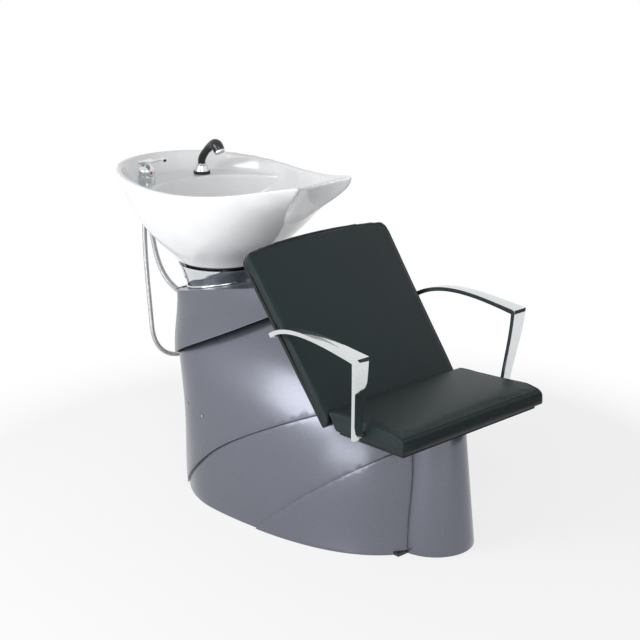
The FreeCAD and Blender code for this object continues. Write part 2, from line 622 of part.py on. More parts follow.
def drain():
    hub = "dims.head_y"
    grid = rod("drain_grid_disc", "dims.drain_grid_radius", "dims.drain_grid_thick", "0", hub,
               "dims.bowl_floor - dims.drain_grid_thick")
    places = [("0", hub)]
    for turn in range(0, 360, 45):
        places.append((f"dims.grid_hole_ring * cos({turn})", f"{hub} + dims.grid_hole_ring * sin({turn})"))
    holes = []
    for index, (x, y) in enumerate(places):
        holes.append(rod(f"grid_hole_{index}", "dims.grid_hole_radius", "dims.drain_grid_thick", x, y,
                         "dims.bowl_floor - dims.drain_grid_thick"))
    sub_part(less("drain_grid", grid, *holes))
    height = "dims.bowl_floor - dims.drain_grid_thick - dims.drain_tail_low"
    outer = rod("drain_tail_outer", "dims.drain_radius", height, "0", hub, "dims.drain_tail_low")
    inner = rod("drain_tail_inner", "dims.drain_bore", height, "0", hub, "dims.drain_tail_low")
    sub_part(less("drain_tail", outer, inner))
    nut_z = "dims.bowl_floor - dims.drain_boss_height - dims.drain_nut_height"
    outer = rod("drain_nut_outer", "dims.drain_nut_radius", "dims.drain_nut_height", "0", hub, nut_z)
    inner = rod("drain_nut_inner", "dims.drain_radius", "dims.drain_nut_height", "0", hub, nut_z)
    sub_part(less("drain_nut", outer, inner))


# Tap

def tap():
    x = "dims.tap_x"
    y = "dims.tap_y"
    body = rod("tap_barrel", "dims.tap_radius", "dims.tap_top - dims.deck_top", x, y, "dims.deck_top")
    tail_low = "dims.deck_under - dims.tap_tail_length"
    tail = rod("tap_tail", "dims.tap_tail_radius", f"dims.deck_top - ({tail_low})", x, y, tail_low)
    stem_depth = "dims.cap_stem_depth + dims.stem_end_play"
    stem_hole = rod("tap_stem_hole", "dims.cap_stem_radius + dims.hinge_play", stem_depth, x, y,
                    f"dims.tap_top - ({stem_depth})")
    sub_part(less("tap_body", fused("tap_blank", body, tail), stem_hole))
    nut_z = "dims.deck_under - dims.tap_nut_height"
    outer = rod("tap_nut_outer", "dims.tap_nut_radius", "dims.tap_nut_height", x, y, nut_z)
    inner = rod("tap_nut_inner", "dims.tap_tail_radius", "dims.tap_nut_height", x, y, nut_z)
    sub_part(less("tap_nut", outer, inner))

    low = size.tap_top + size.slip
    high = low + size.cap_height
    radius = size.cap_radius
    centre = Vector(size.tap_x, size.tap_y, 0)
    skirt = size.cap_skirt
    rise = size.cap_height - skirt
    ball = (radius ** 2 + rise ** 2) / (2 * rise)
    dome = Part.makeSphere(ball, Vector(0, 0, high - ball), Vector(1, 0, 0))
    dome = dome.common(Part.makeCylinder(radius, 2 * size.cap_height, Vector(0, 0, low)))
    stem_foot = Vector(0, 0, low - size.cap_stem_depth)
    stem = Part.makeCylinder(size.cap_stem_radius, size.cap_stem_depth, stem_foot)
    width = size.lever_width
    lug_half = width / 2 - size.lug_margin
    pivot = Vector(0, size.lever_pivot_y, size.lever_pivot_z)
    lug_low = low + size.lug_foot
    lug = Part.makeBox(2 * lug_half, size.lug_depth, pivot.z + size.lever_eye_radius - lug_low,
                       Vector(-lug_half, pivot.y - size.lug_depth / 2, lug_low))

    def cross_rod(radius, length):
        """A rod across the lever, on its pivot."""
        return Part.makeCylinder(radius, length, pivot - Vector(length / 2, 0, 0), Vector(1, 0, 0))

    dot = Part.makeCylinder(size.marker_radius, size.marker_height,
                            Vector(0, size.marker_sink - radius, low + size.marker_rise), Vector(0, -1, 0))
    cap = dome.fuse(stem).fuse(lug).cut(cross_rod(size.lever_pin_radius, 2 * width)).cut(dot)
    place = Placement(centre, UPRIGHT)
    placed("tap_cap", largest(cap), place)
    placed("tap_marker", dot, place)
    placed("lever_pin", cross_rod(size.lever_pin_radius, width - 2 * size.lever_pin_inset), place)

    half = size.lever_thick / 2
    stations = (
        (21, pivot.z - 2, width),
        (10, pivot.z + size.lever_shoulder, width),
        (-12, pivot.z + size.lever_crest, width - 4),
        (-48, pivot.z + size.lever_rise, width - 14),
        (pivot.y - size.lever_length, pivot.z + size.lever_tip_rise, size.lever_tip_width),
    )
    wires = []
    for index, (along, up, across) in enumerate(stations):
        before = stations[max(index - 1, 0)]
        after = stations[min(index + 1, len(stations) - 1)]
        run = Vector(0, after[0] - before[0], after[1] - before[1]).normalize()
        out = Vector(0, run.z, -run.y) * half
        middle = Vector(0, along, up)
        side = Vector(across / 2, 0, 0)
        ring = [middle - side + out, middle + side + out, middle + side - out, middle - side - out]
        wires.append(Part.makePolygon(ring + ring[:1]))
    eye = cross_rod(size.lever_eye_radius, width)
    slot_half = lug_half + size.slip
    slot_corner = Vector(-slot_half, -size.lever_pin_inset, low)
    slot = Part.makeBox(2 * slot_half, 2 * width, 2 * (pivot.z - low), slot_corner)
    clear = cross_rod(size.lever_pin_radius + size.hinge_play, 2 * width)
    dome_clear = Part.makeCylinder(radius + size.cap_clear, size.cap_height + 2 * size.slip,
                                   Vector(0, 0, low - size.slip))
    lever = Part.makeLoft(wires, True, False).fuse(eye).cut(slot).cut(clear).cut(dome_clear)
    placed("tap_lever", largest(lever), place)


# Hand shower

def hand_shower():
    x = "dims.socket_x"
    y = "dims.socket_y"
    foot = "dims.deck_top + dims.gasket_height"
    flare = cone("socket_flare", "dims.socket_foot_radius", "dims.socket_top_radius", "dims.socket_height",
                 x, y, foot)
    tail_low = "dims.deck_under - dims.socket_tail_length"
    tail = rod("socket_tail", "dims.socket_tail_radius", f"{foot} - ({tail_low})", x, y, tail_low)
    bore_height = f"{foot} + dims.socket_height - ({tail_low})"
    bore = rod("socket_bore", "dims.socket_bore", bore_height, x, y, tail_low)
    sub_part(less("shower_socket", fused("socket_blank", flare, tail), bore))
    nut_low = "dims.deck_under - dims.socket_nut_height"
    rings = (
        ("socket_gasket", "dims.gasket_radius", "dims.gasket_height", "dims.deck_top"),
        ("socket_nut", "dims.socket_nut_radius", "dims.socket_nut_height", nut_low),
    )
    for name, radius, height, z in rings:
        outer = rod(f"{name}_outer", radius, height, x, y, z)
        inner = rod(f"{name}_inner", "dims.socket_tail_radius", height, x, y, z)
        sub_part(less(name, outer, inner))
    ring_z = f"{foot} + dims.socket_height + dims.slip"
    outer = rod("shower_ring_outer", "dims.handle_radius + dims.ring_step", "dims.ring_height", x, y, ring_z)
    inner = rod("shower_ring_inner", "dims.hose_radius + dims.slip", "dims.ring_height", x, y, ring_z)
    sub_part(less("shower_ring", outer, inner))

    base = size.deck_top + size.gasket_height + size.socket_height + size.slip + size.ring_height
    grip = size.handle_radius
    head = size.head_radius
    stations = (
        (0, 0, grip - 1.5), (0, 8, grip - 1.2), (-4, 18, grip - 0.8), (-18, 36, grip - 1), (-35, 51, grip),
        (-52, 62, head - 3), (-66, 65, head), (-77, 59, head), (-84, 49, head - 1),
    )
    wires = []
    for index, (along, up, radius) in enumerate(stations):
        before = stations[max(index - 1, 0)]
        after = stations[min(index + 1, len(stations) - 1)]
        run = Vector(0, after[0] - before[0], after[1] - before[1])
        if index == 0:
            run = Vector(0, 0, 1)
        centre = Vector(size.socket_x, size.socket_y + along, base + up)
        wires.append(Part.Wire(Part.makeCircle(radius, centre, run)))
    sub_part(form("shower_handle", Part.makeLoft(wires, True, False)))
    rose = Part.makeCylinder(size.rose_radius, size.rose_height, centre, run)
    sub_part(form("shower_rose", rose))


# Hoses

def hose(name, points, radius):
    """A hose along straight runs; each corner is an arc as large as its runs allow."""
    share = 0.45
    corners = [Vector(*point) for point in points]
    edges = []
    bends = []
    start = corners[0]
    for before, corner, after in zip(corners, corners[1:], corners[2:]):
        arrive = corner - before
        leave = after - corner
        turn = arrive.getAngle(leave)
        setback = share * min(arrive.Length, leave.Length)
        bend = setback / math.tan(turn / 2)
        bends.append(bend)
        arrive.normalize()
        leave.normalize()
        inward = (leave - arrive).normalize()
        first = corner - arrive * setback
        last = corner + leave * setback
        crest = corner + inward * (bend / math.cos(turn / 2) - bend)
        edges.append(Part.LineSegment(start, first).toShape())
        edges.append(Part.Arc(first, crest, last).toShape())
        start = last
    edges.append(Part.LineSegment(start, corners[-1]).toShape())
    path = Part.Wire(edges)
    profile = Part.Wire(Part.makeCircle(radius, corners[0], corners[1] - corners[0]))
    solid = path.makePipeShell([profile], True, False)
    expected = math.pi * radius ** 2 * path.Length
    print(f"{name}: length {path.Length:.0f}, tightest bend {min(bends):.0f}, "
          f"volume {solid.Volume / expected:.4f} of section times length")
    print(f"  bends {[round(bend) for bend in bends]}")
    sub_part(form(name, solid))


SHOWER_ROUTE = (
    (-126.5, 651, 743.6), (-129, 653, 690), (-126, 656, 610), (-122, 655, 520), (-117.5, 652, 430),
    (-113, 650, 341), (-74, 649, 286), (-11, 649, 265), (51, 650, 286), (90, 651, 341),
    (96, 653, 425), (97, 656, 510), (94.6, 654.6, 600), (95.4, 655.3, 690), (95, 655, 790), (95.1, 655, 842),
)
HOT_ROUTE = (
    (-122.5, 636.5, 743.6), (-124, 632, 700), (-128, 612, 640), (-132, 585, 585), (-124, 556, 540),
    (-98, 530, 505), (-68, 512, 478),
)
COLD_ROUTE = (
    (-111.5, 647.5, 743.6), (-113, 643.5, 700), (-117, 624, 640), (-121, 597, 585), (-113, 568, 540),
    (-87, 542, 505), (-57, 524, 478),
)
WASTE_ROUTE = (
    (0, 455, 547.7), (0, 454, 490), (0, 443, 400), (0, 433, 310), (0, 431, 220), (0, 430.5, 140),
    (0, 430, 80),
)


def grommet_rod(radius, start, end):
    """A rod through the rear of the column's top edge, pointing out from the column's centre."""
    out = Vector(size.grommet_x, size.grommet_y - size.head_y, 0).normalize()
    middle = Vector(size.grommet_x, size.grommet_y, size.grommet_z)
    return Part.makeCylinder(radius, end - start, middle + out * start, out)


def hoses():
    hose("shower_hose", SHOWER_ROUTE, size.hose_radius)
    hose("hot_hose", HOT_ROUTE, size.supply_radius)
    hose("cold_hose", COLD_ROUTE, size.supply_radius)
    hose("waste_hose", WASTE_ROUTE, size.waste_radius)

    grommet = grommet_rod(size.grommet_radius, -size.grommet_length / 2, size.grommet_length / 2)
    grommet = grommet.cut(head_cut(0)).common(base_body(2 * size.shell_step + size.grommet_lip))
    for route in (HOT_ROUTE, COLD_ROUTE):
        outside, inside = [Vector(*point) for point in route[-3:-1]]
        run = (inside - outside).normalize()
        way = size.grommet_way
        bore = Part.makeCylinder(size.supply_radius + size.grommet_play, 4 * way, outside - run * way, run)
        grommet = grommet.cut(bore)
    sub_part(form("hose_grommet", largest(grommet)))

    sleeve = rod("outlet_sleeve", "dims.waste_radius + dims.waste_wall", "dims.waste_outlet_height", "0",
                 "dims.waste_outlet_y", "dims.waste_outlet_low")
    bore = rod("outlet_bore", "dims.waste_radius", "dims.waste_outlet_height", "0", "dims.waste_outlet_y",
               "dims.waste_outlet_low")
    clip = box("outlet_clip", "dims.waste_radius", "dims.waste_outlet_y - dims.post_front - dims.post_depth",
               "dims.outlet_clip_height", "-dims.waste_radius / 2", "dims.post_front + dims.post_depth",
               "dims.waste_outlet_low + dims.outlet_clip_rise")
    sub_part(less("waste_outlet", fused("outlet_blank", sleeve, clip), bore))


# Seat and back

SEAT_PLACE = Placement(Vector(0, size.seat_front, size.seat_low),
                       Rotation(Vector(1, 0, 0), -size.seat_pitch))
BACK_PLACE = Placement(Vector(0, size.back_foot_y, size.back_foot_z),
                       Rotation(Vector(1, 0, 0), -size.back_lean))
SEAT_SHARP = 6
BACK_SHARP = 14


def pad_ring(half, low, high, crown, corner, lift):
    """Cross-section of a pad across the sitter: flat below, rounded shoulders, crowned top.

    lift turns (across, up) into a point of the section's plane.
    """
    shoulder = corner * (1 - math.sqrt(0.5))
    p = [lift(-half, low), lift(half, low), lift(half, high - corner), lift(half - corner, high),
         lift(-half + corner, high), lift(-half, high - corner)]
    edges = [Part.makeLine(p[0], p[1]), Part.makeLine(p[1], p[2]),
             Part.Arc(p[2], lift(half - shoulder, high - shoulder), p[3]).toShape(),
             Part.Arc(p[3], lift(0, high + crown), p[4]).toShape(),
             Part.Arc(p[4], lift(-half + shoulder, high - shoulder), p[5]).toShape(),
             Part.makeLine(p[5], p[0])]
    return Part.Wire(edges)


def pad(ends, halves, thick, edge, crown, sharp, lift):
    """A crowned pad between two ends, its sides drawn in, its end edges rolled over."""
    count = 12
    wires = []
    for index in range(count + 1):
        t = -math.cos(math.pi * index / count)
        share = (1 + t) / 2
        along = ends[0] + (ends[1] - ends[0]) * share
        fullness = math.sqrt(1 - t ** sharp)
        middle = 1 - t * t
        half = halves[0] + (halves[1] - halves[0]) * share - size.pad_draw_in * middle
        height = edge + (thick - edge) * fullness
        rise = crown * middle + size.pad_least_crown
        wires.append(pad_ring(half, 0, height, rise, size.pad_corner, lift(along)))
    return Part.makeLoft(wires, True, False)


def arm_bolt(sign):
    """The bolt from an arm's foot through the side of the seat into its rail."""
    start = Vector(sign * (size.arm_foot_x - size.arm_foot_width / 2), size.arm_bolt_y, size.arm_bolt_z)
    return Part.makeCylinder(size.arm_bolt_radius, size.arm_bolt_length, start, Vector(-sign, 0, 0))


def seat():
    length = size.seat_length
    halves = (size.seat_half_front, size.seat_half_rear)
    cushion = pad((0, length), halves, size.seat_thick, size.seat_thick / 2, size.seat_crown, SEAT_SHARP,
                  lambda y: lambda x, up: Vector(x, y, up))
    cushion.Placement = SEAT_PLACE
    cushion = cushion.cut(beside_back(size.back_crown + size.seat_gap, -FAR_REAR))
    rails = []
    for sign in SIDES.values():
        rail = Part.makeBox(size.rail_width, size.rail_length, size.rail_height,
                            Vector(sign * size.rail_x - size.rail_width / 2, size.rail_front, 0))
        rail.Placement = SEAT_PLACE
        rails.append(rail)
        cushion = cushion.cut(rail).cut(arm_bolt(sign))
    sub_part(form("seat_cushion", largest(cushion)))

    inset = size.seat_board_inset
    front = size.seat_half_front - inset
    rear = size.seat_half_rear - inset
    end = inset + size.seat_board_length
    outline = [Vector(-front, inset, 0), Vector(front, inset, 0), Vector(rear, end, 0), Vector(-rear, end, 0)]
    board = Part.Face(Part.makePolygon(outline + outline[:1])).extrude(Vector(0, 0, -size.seat_board_thick))
    board.Placement = SEAT_PLACE
    for rail, sign in zip(rails, SIDES.values()):
        board = board.fuse(rail).cut(arm_bolt(sign))
    sub_part(form("seat_board", largest(board)))
    width = size.seat_plate_width
    start = end - size.seat_plate_length
    plate = Part.makeBox(width, size.seat_plate_length, size.seat_plate_thick,
                         Vector(-width / 2, start, -size.seat_board_thick - size.seat_plate_thick))
    placed("seat_plate", plate, SEAT_PLACE)

    drop = -size.seat_board_thick - size.seat_plate_thick
    pitch = math.radians(size.seat_pitch)
    corners = []
    for along in (start, start + size.seat_plate_length):
        y = size.seat_front + along * math.cos(pitch) + drop * math.sin(pitch)
        z = size.seat_low - along * math.sin(pitch) + drop * math.cos(pitch)
        corners.append((y, z))
    (front_y, front_z), (rear_y, rear_z) = corners
    front_z += (rear_z - front_z) * (size.beam_front - front_y) / (rear_y - front_y)
    front_y = size.beam_front
    profile = lines(((front_y, size.beam_top), (front_y, front_z), (rear_y, rear_z), (rear_y, size.beam_top),
                     (front_y, size.beam_top)))
    sub_part(form("seat_wedge", side_prism(profile, size.beam_width / 2)))


def back_outline(inset):
    half_top = size.back_half_top - inset
    half_foot = size.back_half_foot - inset
    top = size.back_length - inset
    low = -size.back_drop + inset
    corner = size.back_corner_radius
    shoulder = corner * (1 - math.sqrt(0.5))
    p = [
        Vector(-half_foot, 0, low), Vector(half_foot, 0, low), Vector(half_top, 0, top - corner),
        Vector(half_top - corner, 0, top), Vector(-half_top + corner, 0, top),
        Vector(-half_top, 0, top - corner),
    ]
    edges = [Part.makeLine(p[0], p[1]), Part.makeLine(p[1], p[2]),
             Part.Arc(p[2], Vector(half_top - shoulder, 0, top - shoulder), p[3]).toShape(),
             Part.Arc(p[3], Vector(0, 0, top + size.back_arch), p[4]).toShape(),
             Part.Arc(p[4], Vector(-half_top + shoulder, 0, top - shoulder), p[5]).toShape(),
             Part.makeLine(p[5], p[0])]
    return Part.Face(Part.Wire(edges))


def back():
    thick = size.back_thick
    ends = (-size.back_drop, size.back_length + size.back_arch + size.back_trim_top)
    halves = (size.back_half_foot + size.back_trim, size.back_half_top + size.back_trim)
    shape = pad(ends, halves, thick, thick / 2, size.back_crown, BACK_SHARP,
                lambda z: lambda x, out: Vector(x, thick - out, z))
    reach = size.back_reach
    face = back_outline(0)
    face.translate(Vector(0, -reach, 0))
    shape = shape.common(face.extrude(Vector(0, reach + thick, 0)))
    placed("back_cushion", largest(shape), BACK_PLACE)
    face = back_outline(size.back_board_inset)
    face.translate(Vector(0, thick, 0))
    placed("back_board", face.extrude(Vector(0, size.back_board_thick, 0)), BACK_PLACE)

    behind = -thick - size.back_board_thick
    plate = size.bracket_thick
    foot = back_frame(behind, size.bracket_low)
    top = back_frame(behind, size.bracket_rise)
    top_outer = back_frame(behind - plate, size.bracket_rise)
    heel = back_frame(behind - plate, size.bracket_low)
    rail = size.beam_top
    heel_y = max(foot.y, heel.y) + size.bracket_heel
    inner_y = heel_y - plate
    toe_y = inner_y - size.bracket_toe
    edges = lines((
        (foot.y, foot.z), (top.y, top.z), (top_outer.y, top_outer.z),
        (heel_y, heel.z + size.bracket_heel_rise), (heel_y, rail), (toe_y, rail), (toe_y, rail + plate),
        (inner_y, rail + plate), (foot.y, foot.z),
    ))
    sub_part(form("back_bracket", side_prism(edges, size.beam_width / 2)))


# Arms

def blade(stations, sign):
    """A flat bar through stations of (outer edge, inner edge, centre across, width)."""
    wires = []
    for (outer_y, outer_z), (inner_y, inner_z), centre, width in stations:
        near = sign * (centre - width / 2)
        far = sign * (centre + width / 2)
        ring = [Vector(near, outer_y, outer_z), Vector(far, outer_y, outer_z), Vector(far, inner_y, inner_z),
                Vector(near, inner_y, inner_z)]
        wires.append(Part.makePolygon(ring + ring[:1]))
    return Part.makeLoft(wires, True, False)


def arms():
    wide = size.arm_corner_width
    corner = ((-424, 584), (-411, 572), size.arm_corner_x, wide)
    top = (((-68, 561), (-76, 551), size.arm_rear_x, size.arm_rear_width),
           ((-128, 588), (-130, 577), size.arm_rear_x + 8, size.arm_rear_width + 4),
           ((-205, 600), (-204, 589), size.arm_rear_x + 15, size.arm_rear_width + 9),
           ((-315, 596), (-313, 585), size.arm_corner_x - 3, wide - 8), corner)
    foot_z = size.arm_bolt_z - size.arm_foot_drop
    post = (corner, ((-412, 480), (-401, 480), size.arm_corner_x - 6, wide - 8),
            ((-400, 400), (-389, 400), size.arm_foot_x + 3, size.arm_foot_width + 2),
            ((-395.5, foot_z), (-384.5, foot_z), size.arm_foot_x, size.arm_foot_width))
    bolts = []
    for side, sign in SIDES.items():
        bolt = arm_bolt(sign)
        inward = Vector(-sign, 0, 0)
        spacer = Part.makeCylinder(size.arm_spacer_radius, size.arm_spacer_length,
                                   Vector(sign * size.arm_foot_x, size.arm_bolt_y, size.arm_bolt_z), inward)
        boss = Part.makeCylinder(size.arm_boss_radius, size.arm_boss_length,
                                 Vector(sign * size.arm_rear_x, size.arm_boss_y, size.arm_boss_z), inward)
        arm = blade(top, sign).fuse(blade(post, sign)).fuse(spacer).fuse(boss).cut(bolt)
        for name in ("back_board", "back_cushion", "seat_cushion"):
            arm = arm.cut(doc.getObject(name).Shape)
        sub_part(form(f"arm_{side}", largest(arm)))
        bolts.append(bolt)
    sub_part(form("arm_bolts", Part.makeCompound(bolts)))


def largest(shape):
    """The main solid of a boolean, without loose slivers."""
    return max(shape.Solids, key=lambda solid: solid.Volume)


def check():
    for item in doc.Objects:
        if "Invalid" in item.State or "Error" in item.State:
            raise RuntimeError(f"{item.Label} failed: {item.State}")
    for item in nodes:
        if item.Shape.isNull() or not item.Shape.isValid():
            raise RuntimeError(f"{item.Label} has no valid shape")


def write():
    os.makedirs("parts", exist_ok=True)
    for item in nodes:
        item.Shape.exportStep(os.path.join("parts", f"{item.Label}.step"))


frame()
shells()
collar()
hinge()
basin()
drain()
tap()
hand_shower()
hoses()
seat()
back()
arms()
doc.recompute()
check()
write()
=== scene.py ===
import math

import bmesh
import bpy
from bpy.props import FloatProperty, FloatVectorProperty, PointerProperty
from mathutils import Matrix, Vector


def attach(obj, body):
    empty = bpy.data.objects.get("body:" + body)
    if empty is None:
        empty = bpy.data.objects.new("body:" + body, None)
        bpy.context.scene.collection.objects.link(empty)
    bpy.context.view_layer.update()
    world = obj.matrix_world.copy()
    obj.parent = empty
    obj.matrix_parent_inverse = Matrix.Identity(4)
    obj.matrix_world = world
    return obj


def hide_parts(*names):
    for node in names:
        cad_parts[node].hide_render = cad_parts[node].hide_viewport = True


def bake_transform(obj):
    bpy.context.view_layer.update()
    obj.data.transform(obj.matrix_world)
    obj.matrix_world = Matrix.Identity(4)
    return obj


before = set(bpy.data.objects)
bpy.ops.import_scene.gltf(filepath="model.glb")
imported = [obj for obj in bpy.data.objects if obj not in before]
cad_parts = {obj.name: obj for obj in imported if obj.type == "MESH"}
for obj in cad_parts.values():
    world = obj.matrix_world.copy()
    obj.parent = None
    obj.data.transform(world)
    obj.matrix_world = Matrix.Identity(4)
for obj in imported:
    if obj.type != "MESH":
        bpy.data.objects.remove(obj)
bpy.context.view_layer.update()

bl_info = {
    "name": "Backwash Unit",
    "version": (1, 0, 0),
    "blender": (4, 5, 0),
    "location": "View3D > Sidebar > Backwash",
    "description": "Finishes, upholstery and hoses of a salon backwash unit",
    "category": "Object",
}

# Places from the drawing, in metres, and the routes of the hoses in millimetres

SEAT_FRONT = (-0.539, 0.354)
SEAT_PITCH = math.radians(2.63)
SEAT_LENGTH = 0.285
SEAT_HALF = (0.270, 0.252)
BACK_FOOT = (-0.236, 0.391)
BACK_LEAN = math.radians(37.7)
BACK_HALF = (0.250, 0.262)
BACK_LOW = -0.044
BACK_HIGH = 0.461
BACK_ARCH = 0.016
BACK_CORNER = 0.034

SHOWER_ROUTE = (
    (-126.5, 651, 743.6), (-129, 653, 690), (-126, 656, 610), (-122, 655, 520), (-117.5, 652, 430),
    (-113, 650, 341), (-74, 649, 286), (-11, 649, 265), (51, 650, 286), (90, 651, 341),
    (96, 653, 425), (97, 656, 510), (94.6, 654.6, 600), (95.4, 655.3, 690), (95, 655, 790), (95.1, 655, 842),
)
HOT_ROUTE = (
    (-122.5, 636.5, 743.6), (-124, 632, 700), (-128, 612, 640), (-132, 585, 585), (-124, 556, 540),
    (-98, 530, 505), (-68, 512, 478),
)
COLD_ROUTE = (
    (-111.5, 647.5, 743.6), (-113, 643.5, 700), (-117, 624, 640), (-121, 597, 585), (-113, 568, 540),
    (-87, 542, 505), (-57, 524, 478),
)
WASTE_ROUTE = (
    (0, 455, 547.7), (0, 454, 490), (0, 443, 400), (0, 433, 310), (0, 431, 220), (0, 430.5, 140),
    (0, 430, 80),
)

# Edges, with widths in metres

WELD_GAP = 0.00002
EDGE_ANGLE = math.radians(32)
LACQUER_EDGE = 0.0014
ARM_EDGE = 0.0025
CHROME_EDGE = 0.0006
BOARD_EDGE = 0.002

# Upholstery, with lengths in metres

PAD_VOXEL = 0.005
PAD_SHRINK = 0.001
PAD_SWELL = 0.002
PAD_PRESSURE = 1.2
CLOTH_STEPS = 20
SEAT_INSET = 0.012
BACK_INSET = 0.009
SEAT_CLEAR = 0.12
BACK_CLEAR = 0.08

# Stage, with places in metres, and lens and sensor in millimetres

FLOOR_HALF = 40
FLOOR_FADE = (0.2, 1.5)
FLOOR_WHITE = 0.75
SKY_LOW = 0.85
SKY_HIGH = 0.20
CARD_PLACE = (1.1, -1.7, 0.6)
CARD_TURN = (math.radians(90), 0, math.radians(33))
CARD_SIZE = (2.0, 1.2)
CAMERA_PLACE = (-2.812, -2.928, 1.789)
CAMERA_AIM = (0, 0.038, 0.513)
CAMERA_LENS = 87.4
CAMERA_SENSOR = 36


def linear(text):
    """An sRGB hex colour as the linear values that a shader takes."""
    channels = []
    for start in (0, 2, 4):
        value = int(text[start:start + 2], 16) / 255
        channels.append(value / 12.92 if value <= 0.04045 else ((value + 0.055) / 1.055) ** 2.4)
    return (*channels, 1.0)


def per_metre(millimetres):
    """How often a pattern of this size repeats in a metre."""
    return 1000 / millimetres


# Materials

def add_node(tree, kind, inputs=None, **settings):
    """A new node, with its settings, and its inputs set or linked."""
    node = tree.nodes.new(kind)
    for name, value in settings.items():
        setattr(node, name, value)
    for key, value in (inputs or {}).items():
        if isinstance(value, bpy.types.NodeSocket):
            tree.links.new(value, node.inputs[key])
        else:
            node.inputs[key].default_value = value
    return node


def start_material(name):
    """An empty material, its node tree and the place of each point in metres."""
    material = bpy.data.materials.new(name)
    material.use_nodes = True
    tree = material.node_tree
    tree.nodes.clear()
    place = add_node(tree, "ShaderNodeTexCoord").outputs["Object"]
    return material, tree, place


def finish_material(tree, **inputs):
    named = {key.replace("_", " "): value for key, value in inputs.items()}
    shader = add_node(tree, "ShaderNodeBsdfPrincipled", named)
    add_node(tree, "ShaderNodeOutputMaterial", {"Surface": shader.outputs["BSDF"]})


def glazed_china(settings):
    """White sanitary ware: a thick fired glaze, deeply glossy, with a faint waviness of the dipped coat."""
    material, tree, place = start_material("glazed_china")
    wave = add_node(tree, "ShaderNodeTexNoise", {"Vector": place, "Scale": per_metre(60), "Detail": 1.0})
    shade = add_node(tree, "ShaderNodeMix", {"Factor": wave.outputs["Fac"], 6: settings.glaze_colour,
                                             7: linear("e9eaec")}, data_type="RGBA")
    dust = add_node(tree, "ShaderNodeTexNoise", {"Vector": place, "Scale": per_metre(9), "Detail": 3.0})
    gloss = add_node(tree, "ShaderNodeMapRange", {"Value": dust.outputs["Fac"], "To Min": 0.07,
                                                  "To Max": 0.14})
    ripple = add_node(tree, "ShaderNodeBump", {"Height": wave.outputs["Fac"], "Strength": 0.08,
                                               "Distance": 0.002})
    finish_material(tree, Base_Color=shade.outputs[2], Roughness=gloss.outputs["Result"], IOR=1.52,
                    Normal=ripple.outputs["Normal"], Coat_Weight=0.4, Coat_Roughness=0.04)
    return material


def polished_chrome(settings):
    """Chrome plate over polished brass or steel: a mirror, with faint buffing marks in its gloss."""
    material, tree, place = start_material("polished_chrome")
    buff = add_node(tree, "ShaderNodeTexNoise", {"Vector": place, "Scale": per_metre(4), "Detail": 4.0})
    gloss = add_node(tree, "ShaderNodeMapRange", {"Value": buff.outputs["Fac"], "To Min": 0.03,
                                                  "To Max": 0.10})
    tone = add_node(tree, "ShaderNodeMix", {"Factor": buff.outputs["Fac"], 6: settings.chrome_colour,
                                            7: linear("c9ced0")}, data_type="RGBA")
    finish_material(tree, Base_Color=tone.outputs[2], Metallic=1.0, Roughness=gloss.outputs["Result"])
    return material


def grey_lacquer(settings):
    """Metallic lacquer sprayed on a moulded shell: dark grey with a silver flake under a satin clear coat.

    The flake is really about 0.1 mm; it is drawn at 0.8 mm so that it shows at all.
    """
    material, tree, place = start_material("grey_metallic_lacquer")
    flake = add_node(tree, "ShaderNodeTexVoronoi", {"Vector": place, "Scale": per_metre(0.8)})
    tone = add_node(tree, "ShaderNodeMix", {"Factor": flake.outputs["Color"], 6: linear("646771"),
                                            7: settings.lacquer_colour}, data_type="RGBA")
    peel = add_node(tree, "ShaderNodeTexNoise", {"Vector": place, "Scale": per_metre(3), "Detail": 1.0})
    skin = add_node(tree, "ShaderNodeBump", {"Height": peel.outputs["Fac"], "Strength": 0.04,
                                             "Distance": 0.0005})
    gloss = add_node(tree, "ShaderNodeMapRange", {"Value": peel.outputs["Fac"], "To Min": 0.26,
                                                  "To Max": 0.31})
    finish_material(tree, Base_Color=tone.outputs[2], Metallic=0.7, Roughness=gloss.outputs["Result"],
                    Normal=skin.outputs["Normal"], Coat_Weight=0.25, Coat_Roughness=0.15)
    return material


def black_vinyl(settings):
    """Upholstery vinyl, embossed with a fine leather grain: near black, a soft sheen on the grain's tops, and
    painted shade that draws the grain's grooves darker.

    The grain is about 1 mm and is drawn at 1.6 mm so that it shows.
    """
    material, tree, place = start_material("black_vinyl")
    drift = add_node(tree, "ShaderNodeTexNoise", {"Vector": place, "Scale": per_metre(6), "Detail": 2.0})
    bent = add_node(tree, "ShaderNodeMix", {"Factor": 0.012, 4: place, 5: drift.outputs["Color"]},
                    data_type="VECTOR")
    cells = add_node(tree, "ShaderNodeTexVoronoi", {"Vector": bent.outputs[1], "Scale": per_metre(1.6)},
                     feature="DISTANCE_TO_EDGE")
    grain = add_node(tree, "ShaderNodeMapRange", {"Value": cells.outputs["Distance"], "From Max": 0.25})
    broad = add_node(tree, "ShaderNodeTexNoise", {"Vector": place, "Scale": per_metre(90), "Detail": 2.0})
    tone = add_node(tree, "ShaderNodeMix", {"Factor": broad.outputs["Fac"], 6: settings.vinyl_colour,
                                            7: linear("142021")}, data_type="RGBA")
    # Painted shade: the grain's grooves are drawn in a darker colour than the vinyl's own.
    tone_and_groove_shade = add_node(tree, "ShaderNodeMix", {"Factor": grain.outputs["Result"], 6: linear("090f10"),
                                            7: tone.outputs[2]}, data_type="RGBA")
    gloss = add_node(tree, "ShaderNodeMapRange", {"Value": grain.outputs["Result"], "To Min": 0.56,
                                                  "To Max": 0.42})
    emboss = add_node(tree, "ShaderNodeBump", {"Height": grain.outputs["Result"], "Strength": 0.25,
                                               "Distance": 0.0004})
    finish_material(tree, Base_Color=tone_and_groove_shade.outputs[2], Roughness=gloss.outputs["Result"], IOR=1.45,
                    Specular_Tint=linear("d4eef0"), Normal=emboss.outputs["Normal"])
    return material


